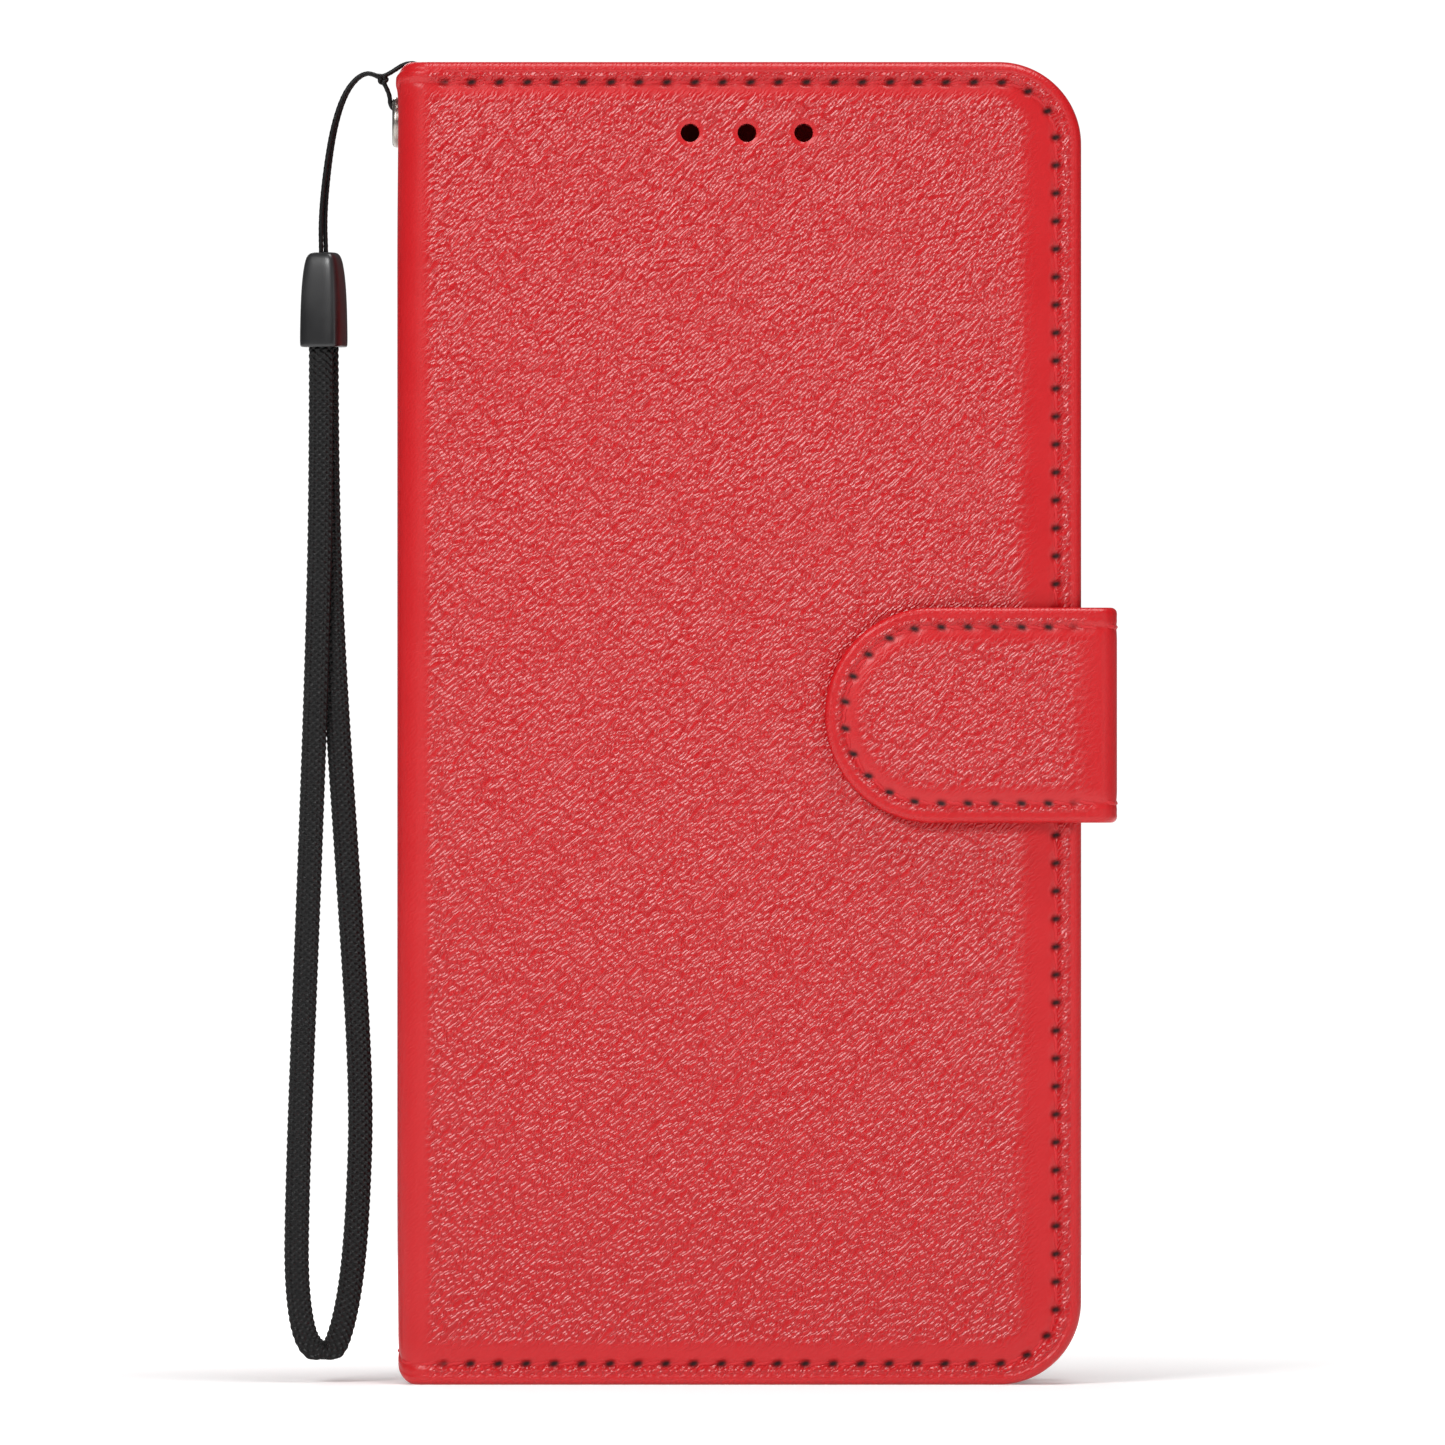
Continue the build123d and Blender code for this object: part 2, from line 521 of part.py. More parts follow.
for side, name in ((-1, "lanyard_cord_front"), (1, "lanyard_cord_back")):
    points = []
    for index, (x, z) in enumerate(STRAND_ROUTE):
        spread = STRAND_SPREAD / 2 * min(index / (len(STRAND_ROUTE) - 2), 1)
        points.append((SPINE_X + x + side * spread, SPINE_Y + side * STRAND_PITCH / 2, z))
    strand_line = route_line(points, name)
    with BuildPart() as lanyard_cord:
        round_cord(strand_line)
    save(lanyard_cord, name)

with BuildPart() as cord_knot:
    with Locations(KNOT):
        Sphere(KNOT_RADIUS)
save(cord_knot, "cord_knot")

FERRULE_PLANE = Plane(origin=(FERRULE_X, SPINE_Y, FERRULE_BOTTOM_Z)).rotated((0, 0, -FERRULE_TURN))

with BuildPart() as strap_ferrule:
    with BuildSketch(FERRULE_PLANE):
        RectangleRounded(FERRULE_WIDTH, FERRULE_DEPTH, FERRULE_CORNER)
    with BuildSketch(FERRULE_PLANE.offset(FERRULE_HEIGHT)):
        RectangleRounded(
            FERRULE_WIDTH * FERRULE_TAPER, FERRULE_DEPTH * FERRULE_TAPER, FERRULE_CORNER
        )
    loft()
    fillet(strap_ferrule.faces().sort_by(Axis.Z)[-1].edges(), FERRULE_TOP_EDGE)
    with BuildSketch(Plane.XY.offset(FERRULE_BOTTOM_Z)):
        with Locations((FERRULE_X, SPINE_Y)):
            RectangleRounded(CAVITY_WIDTH, CAVITY_DEPTH, CAVITY_CORNER)
    extrude(amount=STRAP_INSERT, mode=Mode.SUBTRACT)
    with BuildSketch(Plane.XY.offset(CRIMP_Z)):
        with Locations((FERRULE_X, SPINE_Y)):
            Circle(CRIMP_RADIUS)
    extrude(amount=CRIMP_HEIGHT, mode=Mode.SUBTRACT)
    with BuildSketch(Plane.XY.offset(STRAND_END_Z)):
        with Locations((FERRULE_X, SPINE_Y)):
            Circle(STRAND_HOLE_RADIUS)
    extrude(amount=FERRULE_HEIGHT, mode=Mode.SUBTRACT)
save(strap_ferrule, "strap_ferrule")

with BuildPart() as ferrule_crimp:
    with BuildSketch(Plane.XY.offset(CRIMP_Z)):
        with Locations((FERRULE_X, SPINE_Y)):
            Circle(CRIMP_RADIUS)
    extrude(amount=CRIMP_HEIGHT)
save(ferrule_crimp, "ferrule_crimp")

# the flat braided loop: down the front leg, round the bottom and up the back leg
STRAP_OFFSET = STRAP_THICKNESS / 2 + 0.1
STRAP_ROUTE = [
    (-9.6, -STRAP_OFFSET, CRIMP_Z),
    (-9.6, -STRAP_OFFSET, 112.0),
    (-10.1, -STRAP_OFFSET, 90.0),
    (-11.1, -STRAP_OFFSET, 62.0),
    (-12.1, -0.5, 37.0),
    (-12.6, -0.35, 20.5),
    (-12.55, -0.2, 11.5),
    (-12.3, -0.1, 6.7),
    (-10.5, 0.0, 4.85),
    (-7.9, 0.0, 4.85),
    (-6.1, 0.1, 6.7),
    (-5.7, 0.2, 11.5),
    (-5.0, 0.35, 20.5),
    (-4.6, 0.5, 36.0),
    (-6.2, STRAP_OFFSET, 61.0),
    (-8.1, STRAP_OFFSET, 89.0),
    (-9.0, STRAP_OFFSET, 112.0),
    (-9.0, STRAP_OFFSET, CRIMP_Z),
]

strap_line = route_line([(SPINE_X + x, SPINE_Y + y, z) for x, y, z in STRAP_ROUTE], "wrist_strap")
with BuildPart() as wrist_strap:
    with BuildSketch(across(strap_line)):
        Rectangle(STRAP_WIDTH, STRAP_THICKNESS)
    sweep(path=strap_line)
save(wrist_strap, "wrist_strap")
print("strap volume against section times length", wrist_strap.part.volume,
      STRAP_WIDTH * STRAP_THICKNESS * strap_line.length)
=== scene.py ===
import math

import bpy
import numpy as np
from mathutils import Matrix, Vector


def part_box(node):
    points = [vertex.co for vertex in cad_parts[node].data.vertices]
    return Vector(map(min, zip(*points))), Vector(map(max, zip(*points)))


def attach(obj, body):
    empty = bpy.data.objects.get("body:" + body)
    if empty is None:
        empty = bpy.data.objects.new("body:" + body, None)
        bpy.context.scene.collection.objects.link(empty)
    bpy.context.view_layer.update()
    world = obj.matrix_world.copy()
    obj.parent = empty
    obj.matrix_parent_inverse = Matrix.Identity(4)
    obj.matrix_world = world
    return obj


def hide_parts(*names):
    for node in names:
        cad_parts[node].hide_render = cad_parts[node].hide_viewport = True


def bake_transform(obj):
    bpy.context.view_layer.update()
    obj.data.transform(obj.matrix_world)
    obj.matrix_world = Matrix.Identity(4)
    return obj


# The looks of a folding phone wallet case. It stands upright: +Z is up along the spine, -Y is the
# front, the spine is at -X and the clasp at +X. Everything is in metres.

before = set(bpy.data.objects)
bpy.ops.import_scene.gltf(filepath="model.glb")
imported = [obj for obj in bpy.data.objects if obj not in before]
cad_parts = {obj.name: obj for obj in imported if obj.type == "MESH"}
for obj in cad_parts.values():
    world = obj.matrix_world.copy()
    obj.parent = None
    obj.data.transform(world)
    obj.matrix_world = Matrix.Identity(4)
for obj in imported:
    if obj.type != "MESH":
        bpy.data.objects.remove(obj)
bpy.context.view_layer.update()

MM = 0.001

# ---- places taken from the CAD
SPINE_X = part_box("spine_leather")[0].x
BACK_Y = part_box("spine_leather")[1].y
FRONT_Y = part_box("spine_leather")[0].y
SPINE_Y = (BACK_Y + FRONT_Y) / 2
CASE_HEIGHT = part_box("front_leather")[1].z
MID_Z = CASE_HEIGHT / 2
FORE_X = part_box("front_leather")[1].x
FRONT_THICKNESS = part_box("front_lining")[1].y - FRONT_Y
BACK_THICKNESS = BACK_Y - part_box("back_lining")[0].y
SPINE_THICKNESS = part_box("spine_lining")[1].x - SPINE_X
EYELET_Z = (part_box("eyelet")[0].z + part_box("eyelet")[1].z) / 2
EYELET_RADIUS = (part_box("eyelet")[1].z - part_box("eyelet")[0].z) / 2
CLASP_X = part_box("clasp_side_leather")[1].x
CLASP_MID_Y = (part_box("clasp_side_leather")[0].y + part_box("clasp_side_leather")[1].y) / 2
CLASP_Z = (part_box("flap_leather")[0].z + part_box("flap_leather")[1].z) / 2
CLASP_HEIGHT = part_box("flap_leather")[1].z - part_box("flap_leather")[0].z
FLAP_TIP_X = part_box("flap_leather")[0].x
FLAP_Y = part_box("flap_leather")[0].y
FLAP_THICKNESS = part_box("flap_lining")[1].y - FLAP_Y
SIDE_THICKNESS = CLASP_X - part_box("clasp_side_lining")[0].x
ROOT_BACK_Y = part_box("clasp_root")[1].y
ROOT_THICKNESS = ROOT_BACK_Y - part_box("clasp_root")[0].y
KNOT = (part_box("cord_knot")[0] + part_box("cord_knot")[1]) / 2
FERRULE_MOUTH_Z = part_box("strap_ferrule")[0].z
FERRULE_X = (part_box("ferrule_crimp")[0].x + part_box("ferrule_crimp")[1].x) / 2

# ---- sizes of the sewn and moulded detail
CORNER_RADIUS = 10.2 * MM
FOLD_RADIUS = 3.7 * MM
CLASP_FRONT_FOLD, CLASP_BACK_FOLD = 2.4 * MM, 1.8 * MM
ROOT_REACH = 9.8 * MM  # how far the clasp strap reaches in under the back leather
LAP_WIDTH = 1.8 * MM  # leather turned over onto the lining
LAP_HEIGHT, LAP_ROLL, LAP_END_DEPTH = 0.1 * MM, 0.5 * MM, 0.25 * MM
COLUMN_STEP = 0.25 * MM
RING_STEP = 0.22 * MM
FIRST_RING, RING_END = 1.15 * MM, 9.5 * MM  # the face's rows run parallel to the edge between these
RIM_INSET, RIM_WIDTH, RIM_DEPTH = 1.25 * MM, 0.2 * MM, 0.12 * MM  # the line pressed beside the edge
PITCH, CLASP_PITCH = 3.43 * MM, 3.25 * MM
THREAD_RADIUS = 0.26 * MM
CORD_DIAMETER = 0.6 * MM
STRAP_WIDTH, STRAP_THICKNESS = 3.1 * MM, 1.1 * MM

# ---- camera
CAMERA_X, CAMERA_Z = -3.9 * MM, 81.6 * MM
CAMERA_DISTANCE = 2.5
FIELD = 178.0 * MM  # width seen at the front cover

camera_data = bpy.data.cameras.new("camera")
camera_data.lens = camera_data.sensor_width * CAMERA_DISTANCE / FIELD
camera_data.clip_start = 0.01
camera = bpy.data.objects.new("camera", camera_data)
camera.location = (CAMERA_X, FRONT_Y - CAMERA_DISTANCE, CAMERA_Z)
camera.rotation_euler = (math.radians(90), 0, 0)
bpy.context.collection.objects.link(camera)
bpy.context.scene.camera = camera


# ---- meshes
def new_object(name, vertices, faces, material, uv=None, shares=None):
    """A smooth-shaded mesh object, with an optional flat layout and per-vertex shares for its material."""
    mesh = bpy.data.meshes.new(name)
    mesh.from_pydata(np.asarray(vertices).tolist(), [], np.asarray(faces).tolist())
    mesh.shade_smooth()
    if uv is not None:
        corner_vertices = np.empty(len(mesh.loops), np.int32)
        mesh.loops.foreach_get("vertex_index", corner_vertices)
        layer = mesh.uv_layers.new(name="flat_layout")
        layer.data.foreach_set("uv", np.asarray(uv)[corner_vertices].astype(np.float32).ravel())
    for share_name, values in (shares or {}).items():
        attribute = mesh.attributes.new(share_name, "FLOAT", "POINT")
        attribute.data.foreach_set("value", np.asarray(values, np.float32).ravel())
    mesh.materials.append(material)
    made = bpy.data.objects.new(name, mesh)
    bpy.context.collection.objects.link(made)
    return made


def smooth_step(value, low, high):
    """0 below low, 1 above high and a soft turn between them."""
    share = np.clip((value - low) / (high - low), 0, 1)
    return share * share * (3 - 2 * share)


def bell(value, width):
    """A soft bump of height 1 round zero."""
    return np.exp(-((value / width) ** 2))


def lengths_along(points):
    """The length travelled along a line up to each of its points."""
    steps = np.linalg.norm(np.diff(points, axis=0), axis=1)
    return np.concatenate(([0], np.cumsum(steps)))


def tangents_along(points):
    """Unit directions along a line at its points."""
    tangent = np.gradient(points, axis=0)
    return tangent / np.linalg.norm(tangent, axis=1, keepdims=True)


def grid_faces(rows, columns, closed=False):
    """The quads of a grid whose vertices run row by row; a closed grid's rows join up end to end."""
    last = columns if closed else columns - 1
    row, column = np.meshgrid(np.arange(rows - 1), np.arange(last), indexing="ij")
    following = (column + 1) % columns
    corners = (
        row * columns + column,
        row * columns + following,
        (row + 1) * columns + following,
        (row + 1) * columns + column,
    )
    return np.stack(corners, axis=-1)


def tube_object(name, rings, material):
    """A tube from its rings of points."""
    faces = grid_faces(*rings.shape[:2], closed=True).reshape(-1, 4)
    return new_object(name, rings.reshape(-1, 3), faces, material)


# ---- folded sheets
class Fold:
    """Where a flat sheet goes: level from its start, round one corner and level again.

    u runs along the sheet, across the fold, and h is the height above the sheet's outer face.
    out and along are the signs, in x and y, of the sheet's outer side and of its first run.
    """

    def __init__(self, x, y, out, along, level, radius, mid_z):
        self.x, self.y, self.out, self.along = x, y, out, along
        self.level, self.radius, self.mid_z = level, radius, mid_z
        self.arc = radius * math.pi / 2

    def place(self, u, v, h):
        """World points for flat points u, v at height h."""
        turn = np.clip((u - self.level) / self.radius, 0, math.pi / 2)
        before = np.minimum(u, self.level)
        after = np.maximum(u - self.level - self.arc, 0)
        run = before + (self.radius + h) * np.sin(turn)
        rise = (self.radius + h) * np.cos(turn) - self.radius - after
        return np.stack((self.x + self.out * rise, self.y + self.along * run, self.mid_z + v), axis=-1)

    def turned(self, u):
        """How far round the corner u is, from 0 to 1."""
        return np.clip((u - self.level) / self.arc, 0, 1)


class Outline:
    """The edge of a flat sheet that is open at u = 0 and has two rounded corners at its far end."""

    def __init__(self, width, height, corner, step=COLUMN_STEP):
        self.width, self.height = width, height
        straight, side, half = width - corner, height - 2 * corner, height / 2
        quarter = corner * math.pi / 2
        runs = [straight, quarter, side, quarter, straight]
        counts = [max(2, round(run / step)) if run > step else 0 for run in runs]
        top, first, fore, second, bottom = [np.linspace(0, 1, count, endpoint=False) for count in counts]
        bottom = np.append(bottom, 1.0)
        self.points, self.inward, self.run = [], [], []
        self.add_side(0, top, top * straight, half, (0, -1))
        self.add_corner(1, first, (straight, half - corner), corner, math.pi / 2 * (1 - first))
        self.add_side(2, fore, width, half - corner - fore * side, (-1, 0))
        self.add_corner(3, second, (straight, corner - half), corner, -math.pi / 2 * second)
        self.add_side(4, bottom, (1 - bottom) * straight, -half, (0, 1))
        self.points = np.concatenate(self.points)
        self.inward = np.concatenate(self.inward)
        self.run = np.concatenate(self.run)
        core_u = np.minimum(self.points[:, 0], straight)
        self.core = np.stack((core_u, 0 * core_u), axis=-1)

    def from_edge(self, flat):
        """Roughly how far flat points are inside the edge."""
        return np.minimum(self.width - flat[..., 0], self.height / 2 - np.abs(flat[..., 1]))

    def add_side(self, number, station, u, v, inward):
        """One straight run of edge points; station goes from 0 to 1 along it."""
        ones = np.ones_like(station)
        self.points.append(np.stack((u * ones, v * ones), axis=-1))
        self.inward.append(ones[:, None] * inward)
        self.run.append(number + station)

    def add_corner(self, number, station, centre, radius, angles):
        """One rounded corner of edge points."""
        outward = np.stack((np.cos(angles), np.sin(angles)), axis=-1)
        self.points.append(np.array(centre) + radius * outward)
        self.inward.append(-outward)
        self.run.append(number + station)

    def draw_in(self, fold, top, bottom):
        """Rounds the corners where the sheet's upper and lower edges go round a fold."""
        out = fold.radius * (1 - np.cos(fold.turned(self.points[:, 0]) * math.pi / 2))
        for radius, side in ((top, 1), (bottom, -1)):
            short = np.maximum(radius - out, 0)
            drawn = radius - np.sqrt(np.maximum(radius ** 2 - short ** 2, 0))
            self.points[:, 1] -= side * drawn * (side * self.points[:, 1] > 0)

    def by_side(self, top, fore, bottom):
        """A value for each column that changes from side to side round the corners."""
        return np.interp(self.run, (0, 1, 2, 3, 4, 5), (top, top, fore, fore, bottom, bottom))

    def seam(self, inset):
        """The stitch line at an inset for each column: its flat points, and its length up to each one."""
        points = self.points + self.inward * inset[:, None]
        return points, lengths_along(points)


def growing_shares(length, first, largest):
    """Shares from 0 to 1 along a length, in even steps at first that then grow to the largest."""
    even_length, growth = 2.2 * MM, 1.12
    places, step = [0.0], first
    while places[-1] < length:
        places.append(places[-1] + step)
        if places[-1] > even_length:
            step = min(step * growth, largest)
    return np.minimum(np.array(places[1:]) / length, 1)


def sheet_layout(outline, insets, core_shares):
    """Flat points: rings parallel to the outline, then rings that close in on its middle line."""
    edge = outline.points + outline.inward * insets[..., None]
    shares = core_shares[:, None, None]
    core = edge[-1] * (1 - shares) + outline.core * shares
    return np.concatenate((edge, core))


def folded_sheet(name, fold, flat, height, material, holes=(), wall=0.0, shares=None, inner=False):
    """A sheet from rows of flat points and their heights, cut out at its holes and then folded.

    wall is how deep the holes' own edges go, and inner turns the faces towards the inside.
    """
    faces = grid_faces(*height.shape)
    flat, faces, walls = cut_holes(flat, faces, holes)
    layout = flat.reshape(-1, 2)
    height = height.ravel()
    if wall and len(walls):
        rim, places = np.unique(walls, return_inverse=True)
        places = places.reshape(walls.shape) + len(layout)
        layout = np.concatenate((layout, layout[rim]))
        height = np.concatenate((height, height[rim] - wall))
        wall_faces = np.stack((walls[:, 1], walls[:, 0], places[:, 0], places[:, 1]), axis=-1)
        faces = np.concatenate((faces, wall_faces))
        shares = {key: np.append(value, value.ravel()[rim]) for key, value in (shares or {}).items()}
    if (fold.out * fold.along > 0) != inner:
        faces = faces[:, ::-1]
    vertices = fold.place(layout[:, 0], layout[:, 1], height)
    return new_object(name, vertices, faces, material, layout * (fold.out * fold.along, 1), shares)


RIM_PASSES = 3  # how often a hole's rim is drawn onto its true edge


def cut_holes(flat, faces, holes):
    """Takes the faces inside the holes away and draws the rest up to each hole's edge."""
    points = flat.reshape(-1, 2)
    walls = []
    kept = np.ones(faces.shape[:2], bool)
    for hole in holes:
        middle = points[faces].mean(axis=2)
        inside = hole(middle) < 0
        kept &= ~inside
        neighbours = (
            (inside[:, :-1], inside[:, 1:], [1, 2]),
            (inside[:-1], inside[1:], [3, 2]),
        )
        for lost, near, shared_edge in neighbours:
            row, column = np.nonzero(lost != near)
            edge = faces[row, column][:, shared_edge]
            walls.append(np.where(lost[row, column][:, None], edge, edge[:, ::-1]))
        rim = np.unique(np.concatenate(walls[-2:]))
        for _ in range(RIM_PASSES):
            points[rim] -= hole(points[rim])[:, None] * slope_of(hole, points[rim])
    walls = np.concatenate(walls) if walls else np.empty((0, 2), int)
    return flat, faces[kept], walls


def slope_of(hole, points):
    """The direction in which the distance to a hole grows fastest."""
    small = 0.001 * MM
    across = hole(points + (small, 0)) - hole(points - (small, 0))
    along = hole(points + (0, small)) - hole(points - (0, small))
    slope = np.stack((across, along), axis=-1)
    return slope / np.maximum(np.linalg.norm(slope, axis=-1, keepdims=True), 1e-12)


def rounded_hole(u, v, width, height, corner):
    """The signed distance to a rounded rectangle's edge, below zero inside it."""
    def distance(points):
        past = np.abs(points - (u, v)) - (width / 2 - corner, height / 2 - corner)
        outside = np.linalg.norm(np.maximum(past, 0), axis=-1)
        return outside + np.minimum(past.max(axis=-1), 0) - corner
    return distance


def round_hole(u, v, radius):
    """The signed distance to a circle."""
    return rounded_hole(u, v, 2 * radius, 2 * radius, radius)


# ---- seams
PIT_LENGTH, PIT_WIDTH, PIT_DEPTH = 0.58 * MM, 0.36 * MM, 0.36 * MM
PIT_LEAN = math.radians(14)
GROOVE_WIDTH, GROOVE_DEPTH = 0.5 * MM, 0.20 * MM
PULL_DEPTH = 0.14 * MM  # how much deeper the groove is at a needle hole
DIP_DEPTH = 0.24 * MM  # how far the face dips inside the seam
RIPPLE_HEIGHT, TUCK_HEIGHT = 0.035 * MM, 0.03 * MM


def needle_pit(across, along, inward):
    """How far a point is into a needle hole, from 0 to 1. The holes lean the same way on every side."""
    beside = across * inward[:, 0] - along * inward[:, 1]
    above = across * inward[:, 1] + along * inward[:, 0]
    pit_long = beside * math.cos(PIT_LEAN) + above * math.sin(PIT_LEAN)
    pit_wide = above * math.cos(PIT_LEAN) - beside * math.sin(PIT_LEAN)
    return np.exp(-((np.abs(pit_long) / PIT_LENGTH) ** 3) - (np.abs(pit_wide) / PIT_WIDTH) ** 2)


def pucker(across, travel):
    """The leather's small uneven waves beside a seam."""
    ripple = np.sin(travel / (0.21 * MM) + 1.3 * np.sin(travel / (0.83 * MM)) + across / (0.3 * MM))
    tuck = np.sin(travel / (0.47 * MM) + 2.1 * np.sin(travel / (1.9 * MM)) - across / (0.5 * MM))
    welt = smooth_step(across, -1.9 * MM, -1.3 * MM) * (1 - smooth_step(across, -0.6 * MM, 0))
    lip = smooth_step(across, 0, 0.3 * MM) * (1 - smooth_step(across, 0.5 * MM, 1.3 * MM))
    return welt * RIPPLE_HEIGHT * ripple + (welt + lip) * TUCK_HEIGHT * tuck


def seam_relief(across, travel, pitch, slope, inward):
    """Heights near a stitch line, how far points are into the needle holes, which get painted shade, and
    how smooth the leather is there.

    across is the distance inside the seam, travel the distance along it and inward the
    direction from the edge.
    """
    stitch = travel / pitch
    pit = needle_pit(across, (stitch - np.round(stitch)) * pitch, inward)
    pull = 0.5 + 0.5 * np.cos(2 * math.pi * stitch)
    dip = smooth_step(across, -0.7 * MM, 0.1 * MM) * (1 - smooth_step(across, 0.3 * MM, slope))
    groove = (GROOVE_DEPTH + PULL_DEPTH * pull) * bell(across, GROOVE_WIDTH)
    height = pucker(across, travel) - groove - DIP_DEPTH * dip - PIT_DEPTH * pit
    smooth = smooth_step(across, -0.3 * MM, 0.2 * MM) * (1 - smooth_step(across, 0.4 * slope, 1.5 * slope))
    return height, pit, smooth


STITCH_LEAN, PLY_DEPTH, PLY_TWIST = 0.5 * MM, 0.16, 9  # the twist is in radians along a stitch
STITCH_SINK, STITCH_END_SINK = 0.02 * MM, 0.14 * MM


def add_threads(name, fold, points, travel, pitch, heights, material):
    """Two-ply stitches lying sunk between the needle holes, all as one object."""
    shares = np.linspace(0.14, 0.86, 11)
    sides = np.linspace(0, 2 * math.pi, 10, endpoint=False)
    from_middle = np.linspace(-1, 1, len(shares))
    ends = np.minimum(np.cos(from_middle * math.pi / 2).clip(0) ** 0.5 + 0.12, 1)
    vertices, faces = [], []
    for number in range(int(travel[-1] / pitch)):
        places = (number + shares) * pitch
        u = np.interp(places, travel, points[:, 0])
        v = np.interp(places, travel, points[:, 1])
        level = np.interp(places, travel, heights)
        tangent = tangents_along(np.stack((u, v), axis=-1))
        lean = (shares - 0.5) * STITCH_LEAN
        ply = 1 + PLY_DEPTH * np.cos(2 * (sides[None] - shares[:, None] * PLY_TWIST))
        radius = THREAD_RADIUS * ends[:, None] * ply
        sideways = radius * np.cos(sides) + lean[:, None]
        sink = STITCH_END_SINK * (1 - ends[:, None])
        lift = level[:, None] + radius * np.sin(sides) - sink - STITCH_SINK
        ring_u = u[:, None] - tangent[:, 1:] * sideways
        ring_v = v[:, None] + tangent[:, :1] * sideways
        start = len(vertices) * lift.size
        vertices.append(fold.place(ring_u, ring_v, lift).reshape(-1, 3))
        faces.append(grid_faces(*lift.shape, closed=True).reshape(-1, 4) + start)
    return new_object(name, np.concatenate(vertices), np.concatenate(faces), material)


# ---- cords
def spline_points(name, route):
    """A route's smooth line, read back as points."""
    curve = bpy.data.curves.new(name, "CURVE")
    curve.dimensions = "3D"
    curve.resolution_u = 16
    spline = curve.splines.new("NURBS")
    spline.points.add(len(route) - 1)
    for point, place in zip(spline.points, route):
        point.co = (*place, 1.0)
    spline.order_u = 3
    spline.use_endpoint_u = True
    holder = bpy.data.objects.new(name, curve)
    mesh = bpy.data.meshes.new_from_object(holder)
    points = np.array([vertex.co for vertex in mesh.vertices])
    bpy.data.objects.remove(holder)
    bpy.data.meshes.remove(mesh)
    return points


def evenly(points, step):
    """The same line with points at even steps."""
    travel = lengths_along(points)
    places = np.linspace(0, travel[-1], max(2, round(travel[-1] / step)) + 1)
    even = np.stack([np.interp(places, travel, points[:, axis]) for axis in range(3)], axis=-1)
    return even, places


LAY_LENGTH, STRANDS = 1.5 * MM, 8  # of the thin cord's plait


def cord_tube(name, points, travel, radius, material):
    """A round tube along a line, with plaited strands that cross both ways."""
    tangent = tangents_along(points)
    second = np.cross(tangent, (0.0, 1.0, 0.0))
    second /= np.linalg.norm(second, axis=1, keepdims=True)
    first = np.cross(second, tangent)
    sides = np.linspace(0, 2 * math.pi, 16, endpoint=False)
    angle = STRANDS / 2 * sides[None]
    lay = 2 * math.pi * travel[:, None] / LAY_LENGTH
    size = radius * (1 - 0.13 * np.abs(np.sin(angle + lay) * np.sin(angle - lay)))[..., None]
    circle = np.cos(sides)[None, :, None] * first[:, None] + np.sin(sides)[None, :, None] * second[:, None]
    return tube_object(name, points[:, None] + size * circle, material)


# the wrist loop's thin cord: up one strand from the ferrule, through the knot, over the spine's
# top edge and out through the eyelet, through the knot again and down the other strand
STRAND_OFFSET = 0.35 * MM
STRAND_SPREAD = 0.3 * MM
STRAND_ROUTE = [
    (-0.0093, 0.1344),
    (-0.0093, 0.1392),
    (-0.00945, 0.1440),
    (-0.0089, 0.1500),
    (-0.0080, 0.1556),
    (-0.0065, 0.1599),
    (-0.0043, 0.1621),
    (-0.0023, 0.1614),
]
LOOP_ROUTE = [
    (-0.0017, 0.1604),
    (-0.0011, 0.1590),
    (-0.0011, 0.1577),
    (0.0006, 0.1566),
    (0.0028, 0.1570),
    (0.0032, 0.1602),
    (0.0030, 0.1628),
    (0.0010, 0.1633),
    (-0.0013, 0.16175),
]


def strand_side(side):
    """One strand's route from the ferrule up to the knot."""
    places = []
    for index, (x, z) in enumerate(STRAND_ROUTE):
        spread = STRAND_SPREAD * min((len(STRAND_ROUTE) - 1 - index) / 6, 1)
        places.append((SPINE_X + x + side * spread, SPINE_Y + side * STRAND_OFFSET, z))
    return places


def add_thin_cord(material):
    """The whole thin cord, doubled through the eyelet."""
    loop = [(SPINE_X + x, SPINE_Y, z) for x, z in LOOP_ROUTE]
    route = strand_side(-1) + loop[::-1] + strand_side(1)[::-1]
    points, travel = evenly(spline_points("cord_line", route), 0.12 * MM)
    tube = cord_tube("thin_cord", points, travel, CORD_DIAMETER / 2, material)
    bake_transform(tube)
    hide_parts("eyelet_cord_loop", "lanyard_cord_front", "lanyard_cord_back")
    return tube, points


KNOT_RADIUS, KNOT_WAVE, KNOT_WIDENING = 0.30 * MM, 0.13 * MM, 1.1


def add_knot(material):
    """The overhand knot where the doubled cord is tied: a trefoil."""
    turn = np.linspace(0, 2 * math.pi, 120, endpoint=False)
    ring = KNOT_RADIUS + KNOT_WAVE * np.cos(3 * turn)
    x = ring * np.cos(2 * turn) * KNOT_WIDENING
    line = np.stack((x, KNOT_RADIUS * np.sin(3 * turn), ring * np.sin(2 * turn)), axis=-1)
    line = np.concatenate((line, line[:1])) + np.array(KNOT)
    knot = cord_tube("knot_in_cord", line, lengths_along(line), 0.9 * CORD_DIAMETER / 2, material)
    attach(knot, "lanyard")
    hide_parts("cord_knot")
    return knot


